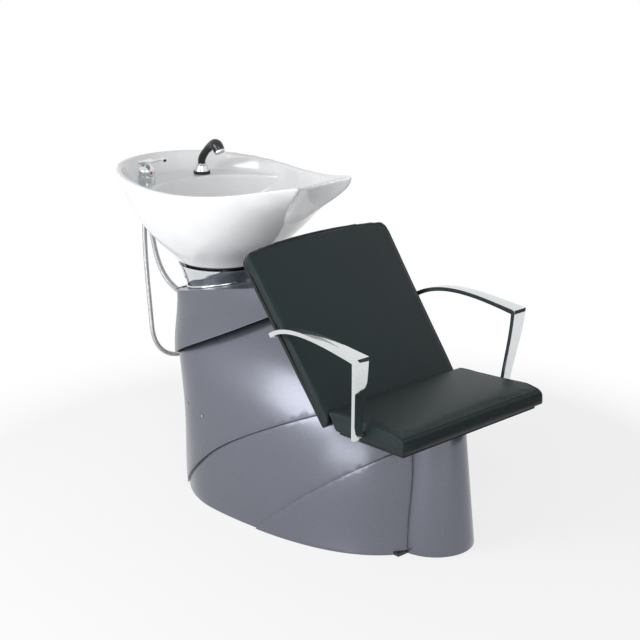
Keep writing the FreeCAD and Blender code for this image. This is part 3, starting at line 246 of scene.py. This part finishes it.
def black_abs(settings):
    """Moulded ABS, gloss black, with the faint ripple of a moulded skin."""
    material, tree, place = start_material("black_abs")
    ripple = add_node(tree, "ShaderNodeTexNoise", {"Vector": place, "Scale": per_metre(12), "Detail": 2.0})
    tone = add_node(tree, "ShaderNodeMix", {"Factor": ripple.outputs["Fac"], 6: settings.plastic_colour,
                                            7: linear("1b1c1e")}, data_type="RGBA")
    gloss = add_node(tree, "ShaderNodeMapRange", {"Value": ripple.outputs["Fac"], "To Min": 0.10,
                                                  "To Max": 0.20})
    finish_material(tree, Base_Color=tone.outputs[2], Roughness=gloss.outputs["Result"], IOR=1.53)
    return material


def wound_steel(settings):
    """Wound steel shower hose: bright ribs about 2.4 mm apart, dull in the grooves between them, where
    painted shade draws them darker.
    """
    material, tree, place = start_material("wound_steel")
    along = add_node(tree, "ShaderNodeAttribute", attribute_name="along").outputs["Fac"]
    turns = add_node(tree, "ShaderNodeMath", {0: along, 1: per_metre(2.4) * 2 * math.pi},
                     operation="MULTIPLY")
    rib = add_node(tree, "ShaderNodeMath", {0: turns.outputs["Value"]}, operation="SINE")
    height = add_node(tree, "ShaderNodeMapRange", {"Value": rib.outputs["Value"], "From Min": -1.0})
    # Painted shade: the grooves between the ribs are drawn in a darker grey than the ribs.
    tone = add_node(tree, "ShaderNodeMix", {"Factor": height.outputs["Result"], 6: linear("8f9092"),
                                            7: settings.hose_colour}, data_type="RGBA")
    gloss = add_node(tree, "ShaderNodeMapRange", {"Value": height.outputs["Result"], "To Min": 0.45,
                                                  "To Max": 0.25})
    ribs = add_node(tree, "ShaderNodeBump", {"Height": height.outputs["Result"], "Strength": 0.6,
                                             "Distance": 0.0008})
    finish_material(tree, Base_Color=tone.outputs[2], Metallic=0.9, Roughness=gloss.outputs["Result"],
                    Normal=ribs.outputs["Normal"])
    return material


def moulded_rubber(settings):
    """Moulded black rubber: dull, slightly chalky."""
    material, tree, place = start_material("moulded_rubber")
    bloom = add_node(tree, "ShaderNodeTexNoise", {"Vector": place, "Scale": per_metre(5), "Detail": 4.0})
    tone = add_node(tree, "ShaderNodeMix", {"Factor": bloom.outputs["Fac"], 6: linear("121212"),
                                            7: linear("262626")}, data_type="RGBA")
    finish_material(tree, Base_Color=tone.outputs[2], Roughness=0.75, IOR=1.5)
    return material


def powder_coat(settings):
    """Black powder coat on welded steel: a fine baked texture of about 0.8 mm."""
    material, tree, place = start_material("black_powder_coat")
    grit = add_node(tree, "ShaderNodeTexNoise", {"Vector": place, "Scale": per_metre(0.8), "Detail": 2.0})
    tone = add_node(tree, "ShaderNodeMix", {"Factor": grit.outputs["Fac"], 6: linear("191a1c"),
                                            7: linear("2c2d30")}, data_type="RGBA")
    bump = add_node(tree, "ShaderNodeBump", {"Height": grit.outputs["Fac"], "Strength": 0.2,
                                             "Distance": 0.0004})
    finish_material(tree, Base_Color=tone.outputs[2], Roughness=0.5, IOR=1.5, Normal=bump.outputs["Normal"])
    return material


def zinc_plate(settings):
    """Zinc-plated steel of screws and nuts: bright grey, a little uneven."""
    material, tree, place = start_material("zinc_plate")
    bloom = add_node(tree, "ShaderNodeTexNoise", {"Vector": place, "Scale": per_metre(2), "Detail": 3.0})
    tone = add_node(tree, "ShaderNodeMix", {"Factor": bloom.outputs["Fac"], 6: linear("9a9da0"),
                                            7: linear("c3c6c8")}, data_type="RGBA")
    gloss = add_node(tree, "ShaderNodeMapRange", {"Value": bloom.outputs["Fac"], "To Min": 0.22,
                                                  "To Max": 0.4})
    finish_material(tree, Base_Color=tone.outputs[2], Metallic=1.0, Roughness=gloss.outputs["Result"])
    return material


def backing_cloth(settings):
    """Black non-woven cloth stapled over a plywood board: matt, with short loose fibres."""
    material, tree, place = start_material("backing_cloth")
    fibre = add_node(tree, "ShaderNodeTexNoise", {"Vector": place, "Scale": per_metre(1.5), "Detail": 5.0})
    tone = add_node(tree, "ShaderNodeMix", {"Factor": fibre.outputs["Fac"], 6: linear("141515"),
                                            7: linear("232425")}, data_type="RGBA")
    nap = add_node(tree, "ShaderNodeBump", {"Height": fibre.outputs["Fac"], "Strength": 0.3,
                                            "Distance": 0.0004})
    finish_material(tree, Base_Color=tone.outputs[2], Roughness=0.85, Normal=nap.outputs["Normal"])
    return material


def red_enamel(settings):
    """The red enamel dot that marks hot."""
    material, tree, place = start_material("red_enamel")
    pool = add_node(tree, "ShaderNodeTexNoise", {"Vector": place, "Scale": per_metre(3), "Detail": 1.0})
    tone = add_node(tree, "ShaderNodeMix", {"Factor": pool.outputs["Fac"], 6: linear("b01414"),
                                            7: linear("c92222")}, data_type="RGBA")
    finish_material(tree, Base_Color=tone.outputs[2], Roughness=0.15, IOR=1.5)
    return material


# Shapes

def paint(name, material):
    """A node of the drawing keeps its shape and takes this finish."""
    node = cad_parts[name]
    node.data.materials.clear()
    node.data.materials.append(material)
    return node


def soften(node, width, segments=3):
    """Rounds the sharp edges of a node, as its making leaves them."""
    weld = node.modifiers.new("weld", "WELD")
    weld.merge_threshold = WELD_GAP
    bevel = node.modifiers.new("soft_edges", "BEVEL")
    bevel.width = width
    bevel.segments = segments
    bevel.limit_method = "ANGLE"
    bevel.angle_limit = EDGE_ANGLE
    bevel.harden_normals = True


def new_piece(name, mesh, material):
    piece = bpy.data.objects.new(name, mesh)
    bpy.context.scene.collection.objects.link(piece)
    mesh.materials.clear()
    mesh.materials.append(material)
    return piece


def applied(piece):
    """The piece's mesh with its modifiers worked in."""
    graph = bpy.context.evaluated_depsgraph_get()
    mesh = bpy.data.meshes.new_from_object(piece.evaluated_get(graph))
    piece.modifiers.clear()
    piece.data = mesh
    return mesh


def remeshed(name, node, voxel, material):
    """A fresh closed skin over a node of the drawing."""
    piece = new_piece(name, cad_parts[node].data.copy(), material)
    body = bmesh.new()
    body.from_mesh(piece.data)
    bmesh.ops.remove_doubles(body, verts=body.verts, dist=WELD_GAP)
    body.to_mesh(piece.data)
    body.free()
    skin = piece.modifiers.new("skin", "REMESH")
    skin.mode = "VOXEL"
    skin.voxel_size = voxel
    applied(piece)
    piece.data.materials.clear()
    piece.data.materials.append(material)
    piece.data.polygons.foreach_set("use_smooth", [True] * len(piece.data.polygons))
    return piece


def swell(piece, underside, shrink, pressure, cap):
    """Fills a pad from inside with Cloth; its underside stays flat on its board."""
    mesh = piece.data
    down = Vector(underside)
    held = piece.vertex_groups.new(name="held")
    for vertex in mesh.vertices:
        if vertex.normal.dot(down) > 0.8:
            held.add([vertex.index], 1.0, "REPLACE")
        else:
            vertex.co -= vertex.normal * shrink
    start = [vertex.co.copy() for vertex in mesh.vertices]
    scene = bpy.context.scene
    scene.frame_set(1)
    cloth = piece.modifiers.new("filling", "CLOTH")
    cloth.settings.quality = 6
    cloth.settings.mass = 0.25
    cloth.settings.use_pressure = True
    cloth.settings.uniform_pressure_force = pressure
    cloth.settings.vertex_group_mass = "held"
    cloth.settings.effector_weights.gravity = 0
    cloth.point_cache.frame_start = 1
    cloth.point_cache.frame_end = CLOTH_STEPS
    for number in range(1, CLOTH_STEPS + 1):
        scene.frame_set(number)
    graph = bpy.context.evaluated_depsgraph_get()
    filled = piece.evaluated_get(graph).to_mesh()
    moved = [vertex.co.copy() for vertex in filled.vertices]
    piece.evaluated_get(graph).to_mesh_clear()
    piece.modifiers.clear()
    scene.frame_set(1)
    for vertex, old, new in zip(mesh.vertices, start, moved):
        step = new - old
        if step.length > cap:
            step *= cap / step.length
        vertex.co = old + step
    mesh.update()


def seat_point(across, along, up):
    y = SEAT_FRONT[0] + along * math.cos(SEAT_PITCH) + up * math.sin(SEAT_PITCH)
    z = SEAT_FRONT[1] - along * math.sin(SEAT_PITCH) + up * math.cos(SEAT_PITCH)
    return Vector((across, y, z))


def back_point(across, up, out):
    y = BACK_FOOT[0] + up * math.sin(BACK_LEAN) - out * math.cos(BACK_LEAN)
    z = BACK_FOOT[1] + up * math.cos(BACK_LEAN) + out * math.sin(BACK_LEAN)
    return Vector((across, y, z))


def back_edge(inset):
    """The line of the back's sewn edge, as (across, up), from foot to foot."""
    right = []
    low = BACK_LOW + inset
    high = BACK_HIGH - inset
    half_low = BACK_HALF[0] - inset
    half_high = BACK_HALF[1] - inset
    rise = high - BACK_CORNER - low
    for step in range(25):
        share = step / 24
        right.append((half_low + (half_high - half_low) * share, low + rise * share))
    for step in range(1, 9):
        turn = math.radians(90 * step / 8)
        right.append((half_high - BACK_CORNER * (1 - math.cos(turn)),
                      high - BACK_CORNER * (1 - math.sin(turn))))
    flat = half_high - BACK_CORNER
    for step in range(1, 13):
        across = flat * (1 - step / 12)
        right.append((across, high + BACK_ARCH * (1 - (across / flat) ** 2)))
    left = [(-across, up) for across, up in reversed(right[:-1])]
    return right + left


def seat_edge(inset):
    """The line of the seat's sewn edge, as (across, along), round its front from rear to rear."""
    steps = 24
    front, rear = SEAT_HALF
    edge = []
    for index in range(steps + 1):
        along = SEAT_LENGTH * (1 - index / steps)
        edge.append((rear + (front - rear) * index / steps - inset, max(along, inset)))
    for index in range(1, 2 * steps):
        edge.append(((front - inset) * (1 - index / steps), inset))
    for index in range(steps + 1):
        along = SEAT_LENGTH * index / steps
        edge.append((-(front + (rear - front) * index / steps - inset), max(along, inset)))
    return edge


def sewn_line(name, points, thickness, material):
    """A thin piped seam that lies along these points."""
    curve = bpy.data.curves.new(name, "CURVE")
    curve.dimensions = "3D"
    curve.bevel_depth = thickness / 2
    curve.bevel_resolution = 3
    spline = curve.splines.new("POLY")
    spline.points.add(len(points) - 1)
    for knot, point in zip(spline.points, points):
        knot.co = (*point, 1.0)
    curve.materials.append(material)
    piece = bpy.data.objects.new(name, curve)
    bpy.context.scene.collection.objects.link(piece)
    return piece


def laid_on(pad, starts, direction):
    """Where rays from these points meet a pad."""
    bpy.context.view_layer.update()
    found = []
    for start in starts:
        hit, place, normal, index = pad.ray_cast(start, direction)
        if hit:
            found.append(place)
    return found


def hose_line(name, route):
    """The smooth centreline of a hose, read from its spline."""
    curve = bpy.data.curves.new(name + "_line", "CURVE")
    curve.dimensions = "3D"
    curve.resolution_u = 8
    spline = curve.splines.new("NURBS")
    spline.points.add(len(route) - 1)
    for knot, (x, y, z) in zip(spline.points, route):
        knot.co = (x / 1000, y / 1000, z / 1000, 1.0)
    spline.order_u = 3
    spline.use_endpoint_u = True
    holder = bpy.data.objects.new(name + "_line", curve)
    bpy.context.scene.collection.objects.link(holder)
    graph = bpy.context.evaluated_depsgraph_get()
    line = bpy.data.meshes.new_from_object(holder.evaluated_get(graph))
    points = [vertex.co.copy() for vertex in line.vertices]
    bpy.data.objects.remove(holder)
    return points


def hose_tube(name, route, diameter, material):
    """A round hose along its route; each point knows how far along it is."""
    points = hose_line(name, route)
    sides = 16
    mesh = bpy.data.meshes.new(name)
    body = bmesh.new()
    run = (points[1] - points[0]).normalized()
    across = run.orthogonal().normalized()
    distance = 0.0
    distances = []
    rings = []
    for index, point in enumerate(points):
        ahead = points[min(index + 1, len(points) - 1)]
        behind = points[max(index - 1, 0)]
        tangent = (ahead - behind).normalized()
        across = (across - tangent * across.dot(tangent)).normalized()
        other = tangent.cross(across)
        if index:
            distance += (point - points[index - 1]).length
        ring = []
        for side in range(sides):
            turn = 2 * math.pi * side / sides
            offset = across * math.cos(turn) + other * math.sin(turn)
            ring.append(body.verts.new(point + offset * diameter / 2))
            distances.append(distance)
        rings.append(ring)
    for first, second in zip(rings, rings[1:]):
        for side in range(sides):
            after = (side + 1) % sides
            face = body.faces.new((first[side], first[after], second[after], second[side]))
            face.smooth = True
    body.faces.new(list(reversed(rings[0])))
    body.faces.new(rings[-1])
    body.to_mesh(mesh)
    body.free()
    along = mesh.attributes.new("along", "FLOAT", "POINT")
    along.data.foreach_set("value", distances)
    piece = new_piece(name, mesh, material)
    return piece, points, distance


# Settings

class BackwashSettings(bpy.types.PropertyGroup):
    """Sizes and colours of the unit's finishes."""
    glaze_colour: FloatVectorProperty(name="Glaze", description="Colour of the basin's glaze",
                                      subtype="COLOR", size=4, min=0, max=1, default=linear("f5f6f7"))
    lacquer_colour: FloatVectorProperty(name="Lacquer", description="Colour of the shells' metallic lacquer",
                                        subtype="COLOR", size=4, min=0, max=1, default=linear("787b86"))
    chrome_colour: FloatVectorProperty(name="Chrome", description="Tint of the chrome plate", subtype="COLOR",
                                       size=4, min=0, max=1, default=linear("e3e7e8"))
    vinyl_colour: FloatVectorProperty(name="Vinyl", description="Colour of the upholstery", subtype="COLOR",
                                      size=4, min=0, max=1, default=linear("0e1718"))
    plastic_colour: FloatVectorProperty(name="Plastic", description="Colour of the hand shower",
                                        subtype="COLOR", size=4, min=0, max=1, default=linear("0c0c0d"))
    hose_colour: FloatVectorProperty(name="Hose", description="Colour of the hose's bright ribs",
                                     subtype="COLOR", size=4, min=0, max=1, default=linear("d6d7d9"))
    floor_colour: FloatVectorProperty(name="Floor", description="Colour of the floor", subtype="COLOR",
                                      size=4, min=0, max=1, default=linear("f8f8f8"))
    piping: FloatProperty(name="Piping", description="Thickness of the sewn edges", subtype="DISTANCE",
                          unit="LENGTH", default=0.003, min=0.001, max=0.008)
    glaze_voxel: FloatProperty(name="Glaze detail", description="Size of the basin skin's mesh",
                               subtype="DISTANCE", unit="LENGTH", default=0.004, min=0.002, max=0.01)


# Operators

class BACKWASH_OT_stage(bpy.types.Operator):
    """Floor, lamps, surroundings and camera"""
    bl_idname = "backwash.stage"
    bl_label = "Stage"

    def seen(self, tree):
        """One where the camera, or a mirror, or a clear piece looks; nought for the light that falls."""
        path = add_node(tree, "ShaderNodeLightPath").outputs
        first = add_node(tree, "ShaderNodeMath", {0: path["Is Camera Ray"], 1: path["Is Glossy Ray"]},
                         operation="MAXIMUM")
        both = add_node(tree, "ShaderNodeMath", {0: first.outputs["Value"], 1: path["Is Transmission Ray"]},
                        operation="MAXIMUM")
        return both.outputs["Value"]

    def flat_sheet(self, name, width, height):
        """A mesh of one level face."""
        mesh = bpy.data.meshes.new(name)
        x = width / 2
        y = height / 2
        mesh.from_pydata([(-x, -y, 0), (x, -y, 0), (x, y, 0), (-x, y, 0)], [], [(0, 1, 2, 3)])
        return mesh

    def lay_floor(self, settings):
        """A pale floor that keeps a soft shadow near the unit and fades to white away from it."""
        mesh = self.flat_sheet("floor", 2 * FLOOR_HALF, 2 * FLOOR_HALF)
        material, tree, place = start_material("pale_floor")
        speck = add_node(tree, "ShaderNodeTexNoise", {"Vector": place, "Scale": per_metre(400),
                                                      "Detail": 2.0})
        tone = add_node(tree, "ShaderNodeMix", {"Factor": speck.outputs["Fac"], 6: settings.floor_colour,
                                                7: linear("f5f5f5")}, data_type="RGBA")
        lit = add_node(tree, "ShaderNodeBsdfPrincipled", {"Base Color": tone.outputs[2], "Roughness": 0.8,
                                                          "Specular IOR Level": 0.0})
        white = add_node(tree, "ShaderNodeEmission", {"Color": linear("ffffff"), "Strength": 1.0})
        away = add_node(tree, "ShaderNodeVectorMath", {0: place}, operation="LENGTH")
        far = add_node(tree, "ShaderNodeMapRange", {"Value": away.outputs["Value"],
                                                    "From Min": FLOOR_FADE[0], "From Max": FLOOR_FADE[1]},
                       interpolation_type="SMOOTHSTEP")
        distant = add_node(tree, "ShaderNodeMath", {0: far.outputs["Result"], 1: self.seen(tree)},
                           operation="MULTIPLY")
        close = add_node(tree, "ShaderNodeMath", {0: self.seen(tree), 1: FLOOR_WHITE}, operation="MULTIPLY")
        share = add_node(tree, "ShaderNodeMath", {0: distant.outputs["Value"], 1: close.outputs["Value"]},
                         operation="MAXIMUM")
        mix = add_node(tree, "ShaderNodeMixShader", {0: share.outputs["Value"], 1: lit.outputs["BSDF"],
                                                     2: white.outputs["Emission"]})
        add_node(tree, "ShaderNodeOutputMaterial", {"Surface": mix.outputs["Shader"]})
        new_piece("floor", mesh, material)

    def set_surroundings(self, scene):
        """A bright horizon and a dimmer sky as light; plain white where it is looked at."""
        world = bpy.data.worlds.new("studio")
        world.use_nodes = True
        scene.world = world
        tree = world.node_tree
        tree.nodes.clear()
        ray = add_node(tree, "ShaderNodeTexCoord").outputs["Generated"]
        height = add_node(tree, "ShaderNodeSeparateXYZ", {"Vector": ray}).outputs["Z"]
        level = add_node(tree, "ShaderNodeMapRange", {"Value": height, "To Min": SKY_LOW, "To Max": SKY_HIGH})
        soft = add_node(tree, "ShaderNodeBackground", {"Color": linear("ffffff"),
                                                       "Strength": level.outputs["Result"]})
        white = add_node(tree, "ShaderNodeBackground", {"Color": linear("ffffff"), "Strength": 1.0})
        mix = add_node(tree, "ShaderNodeMixShader", {0: self.seen(tree), 1: soft.outputs["Background"],
                                                     2: white.outputs["Background"]})
        add_node(tree, "ShaderNodeOutputWorld", {"Surface": mix.outputs["Shader"]})

    def hang_lamps(self, scene):
        for name, place, aim, width, height, power in (
                ("left_softbox", (-3.0, 0.9, 1.7), (0, 0.2, 0.5), 1.8, 1.6, 46),
                ("key_softbox", (-2.2, -2.6, 3.0), (0, 0, 0.5), 1.6, 1.6, 30),
                ("low_softbox", (-2.6, -0.6, 0.5), (0, 0.3, 0.65), 1.4, 0.6, 9)):
            lamp = bpy.data.lights.new(name, "AREA")
            lamp.shape = "RECTANGLE"
            lamp.size = width
            lamp.size_y = height
            lamp.energy = power
            holder = bpy.data.objects.new(name, lamp)
            holder.location = place
            holder.rotation_euler = (Vector(aim) - Vector(place)).to_track_quat("-Z", "Y").to_euler()
            scene.collection.objects.link(holder)

    def stand_card(self):
        """A grey card that only reflections show."""
        felt, tree, place = start_material("grey_felt")
        nap = add_node(tree, "ShaderNodeTexNoise", {"Vector": place, "Scale": per_metre(3), "Detail": 3.0})
        tone = add_node(tree, "ShaderNodeMix", {"Factor": nap.outputs["Fac"], 6: linear("39393b"),
                                                7: linear("4a4a4c")}, data_type="RGBA")
        finish_material(tree, Base_Color=tone.outputs[2], Roughness=0.9)
        flag = new_piece("front_flag", self.flat_sheet("front_flag", *CARD_SIZE), felt)
        flag.location = CARD_PLACE
        flag.rotation_euler = CARD_TURN
        flag.visible_camera = False
        flag.visible_diffuse = False
        flag.visible_shadow = False

    def place_camera(self, scene):
        lens = bpy.data.cameras.new("camera")
        lens.sensor_width = CAMERA_SENSOR
        lens.lens = CAMERA_LENS
        camera = bpy.data.objects.new("camera", lens)
        camera.location = CAMERA_PLACE
        aim = Vector(CAMERA_AIM) - camera.location
        camera.rotation_euler = aim.to_track_quat("-Z", "Y").to_euler()
        scene.collection.objects.link(camera)
        scene.camera = camera

    def execute(self, context):
        scene = context.scene
        scene.view_settings.view_transform = "Standard"
        self.lay_floor(scene.backwash)
        self.set_surroundings(scene)
        self.hang_lamps(scene)
        self.stand_card()
        self.place_camera(scene)
        return {"FINISHED"}


class BACKWASH_OT_shells(bpy.types.Operator):
    """Lacquered shells of the base"""
    bl_idname = "backwash.shells"
    bl_label = "Shells"

    def execute(self, context):
        lacquer = grey_lacquer(context.scene.backwash)
        for name in ("column_shell", "middle_shell", "lower_shell_left", "lower_shell_right",
                     "front_shell_left", "front_shell_right", "front_cone", "column_lid", "rear_hatch"):
            soften(paint(name, lacquer), LACQUER_EDGE)
        return {"FINISHED"}


class BACKWASH_OT_basin(bpy.types.Operator):
    """Glazed basin with soft fired edges"""
    bl_idname = "backwash.basin"
    bl_label = "Basin"

    def execute(self, context):
        settings = context.scene.backwash
        china = glazed_china(settings)
        basin = remeshed("glazed_basin", "basin", settings.glaze_voxel, china)
        smooth = basin.modifiers.new("fired_edges", "SMOOTH")
        smooth.factor = 0.5
        smooth.iterations = 8
        applied(basin)
        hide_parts("basin")
        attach(basin, "basin")
        return {"FINISHED"}


class BACKWASH_OT_brightwork(bpy.types.Operator):
    """Chrome arms, collar, tap, socket and drain"""
    bl_idname = "backwash.brightwork"
    bl_label = "Brightwork"

    def execute(self, context):
        chrome = polished_chrome(context.scene.backwash)
        for name in ("arm_left", "arm_right"):
            soften(paint(name, chrome), ARM_EDGE, segments=4)
        for name in ("tilt_collar", "tap_body", "tap_cap", "tap_lever", "lever_pin", "shower_socket",
                     "shower_ring", "shower_rose", "drain_grid"):
            soften(paint(name, chrome), CHROME_EDGE)
        return {"FINISHED"}


class BACKWASH_OT_upholstery(bpy.types.Operator):
    """Seat and back in black vinyl, with their sewn edges"""
    bl_idname = "backwash.upholstery"
    bl_label = "Upholstery"

    def execute(self, context):
        settings = context.scene.backwash
        vinyl = black_vinyl(settings)
        seat_up = seat_point(0, 0, 1) - seat_point(0, 0, 0)
        back_out = back_point(0, 0, 1) - back_point(0, 0, 0)
        seat_starts = [seat_point(across, along, SEAT_CLEAR) for across, along in seat_edge(SEAT_INSET)]
        back_starts = [back_point(across, up, BACK_CLEAR) for across, up in back_edge(BACK_INSET)]
        for name, node, out, starts in (
                ("seat_pad", "seat_cushion", seat_up, seat_starts),
                ("back_pad", "back_cushion", back_out, back_starts)):
            pad = remeshed(name, node, PAD_VOXEL, vinyl)
            swell(pad, -out, PAD_SHRINK, PAD_PRESSURE, PAD_SWELL)
            fine = pad.modifiers.new("fine", "SUBSURF")
            fine.levels = 1
            fine.render_levels = 1
            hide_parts(node)
            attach(pad, "stand")

            line = sewn_line(name + "_piping", laid_on(pad, starts, -out), settings.piping, vinyl)
            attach(line, "stand")
        cloth = backing_cloth(settings)
        for name in ("seat_board", "back_board"):
            soften(paint(name, cloth), BOARD_EDGE)
        return {"FINISHED"}


class BACKWASH_OT_hoses(bpy.types.Operator):
    """Shower hose, supply hoses and waste hose"""
    bl_idname = "backwash.hoses"
    bl_label = "Hoses"

    def execute(self, context):
        settings = context.scene.backwash
        steel = wound_steel(settings)
        rubber = moulded_rubber(settings)
        for name, route, diameter, material, slot, bodies, start, end in (
                ("shower_line", SHOWER_ROUTE, 0.014, steel, "hose_metal", ("basin", "hand_shower"),
                 (-0.09, 0.65, 0.3), (0.08, 0.65, 0.3)),
                ("hot_line", HOT_ROUTE, 0.012, steel, "hose_metal", ("stand", "basin"),
                 (-0.1, 0.55, 0.53), (-0.1, 0.55, 0.70)),
                ("cold_line", COLD_ROUTE, 0.012, steel, "hose_metal", ("stand", "basin"),
                 (-0.1, 0.55, 0.53), (-0.1, 0.55, 0.70)),
                ("waste_line", WASTE_ROUTE, 0.028, rubber, "rubber", ("stand", "basin"),
                 (0, 0.45, 0.25), (0, 0.45, 0.5))):
            tube, line, length = hose_tube(name, route, diameter, material)
            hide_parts(name.replace("_line", "_hose"))
            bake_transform(tube)
        return {"FINISHED"}


class BACKWASH_OT_fittings(bpy.types.Operator):
    """Hand shower, grommets, screws and the hidden frame"""
    bl_idname = "backwash.fittings"
    bl_label = "Fittings"

    def execute(self, context):
        settings = context.scene.backwash
        groups = (
            (black_abs, 0.0005, ("shower_handle", "floor_clips", "waste_outlet", "drain_tail", "drain_nut")),
            (moulded_rubber, 0.0006, ("hose_grommet", "post_buffers", "socket_gasket")),
            (zinc_plate, 0.0004, ("shell_screws", "hatch_screws", "collar_screws", "arm_bolts",
                                  "saddle_bolts", "tap_nut", "socket_nut", "hinge_pin")),
            (powder_coat, 0.001, ("floor_plate", "front_foot", "front_post", "main_post", "seat_beam",
                                  "head_plate", "hinge_cheeks", "rest_posts", "tilt_saddle", "seat_plate",
                                  "seat_wedge", "back_bracket")),
            (red_enamel, 0.0003, ("tap_marker",)),
        )
        for finish, edge, names in groups:
            material = finish(settings)
            for name in names:
                soften(paint(name, material), edge)
        return {"FINISHED"}


class BACKWASH_PT_panel(bpy.types.Panel):
    """The unit's pieces and finishes"""
    bl_idname = "BACKWASH_PT_panel"
    bl_label = "Backwash Unit"
    bl_space_type = "VIEW_3D"
    bl_region_type = "UI"
    bl_category = "Backwash"

    def draw(self, context):
        settings = context.scene.backwash
        for name in settings.__annotations__:
            self.layout.prop(settings, name)
        for operator in OPERATORS:
            self.layout.operator(operator.bl_idname)


OPERATORS = (
    BACKWASH_OT_stage,
    BACKWASH_OT_shells,
    BACKWASH_OT_basin,
    BACKWASH_OT_brightwork,
    BACKWASH_OT_upholstery,
    BACKWASH_OT_hoses,
    BACKWASH_OT_fittings,
)
CLASSES = (BackwashSettings, *OPERATORS, BACKWASH_PT_panel)


def register():
    for item in CLASSES:
        bpy.utils.register_class(item)
    bpy.types.Scene.backwash = PointerProperty(type=BackwashSettings)


def unregister():
    del bpy.types.Scene.backwash
    for item in reversed(CLASSES):
        bpy.utils.unregister_class(item)


def main():
    register()
    bpy.ops.backwash.stage()
    bpy.ops.backwash.shells()
    bpy.ops.backwash.basin()
    bpy.ops.backwash.brightwork()
    bpy.ops.backwash.upholstery()
    bpy.ops.backwash.hoses()
    bpy.ops.backwash.fittings()


if __name__ == "__main__":
    main()
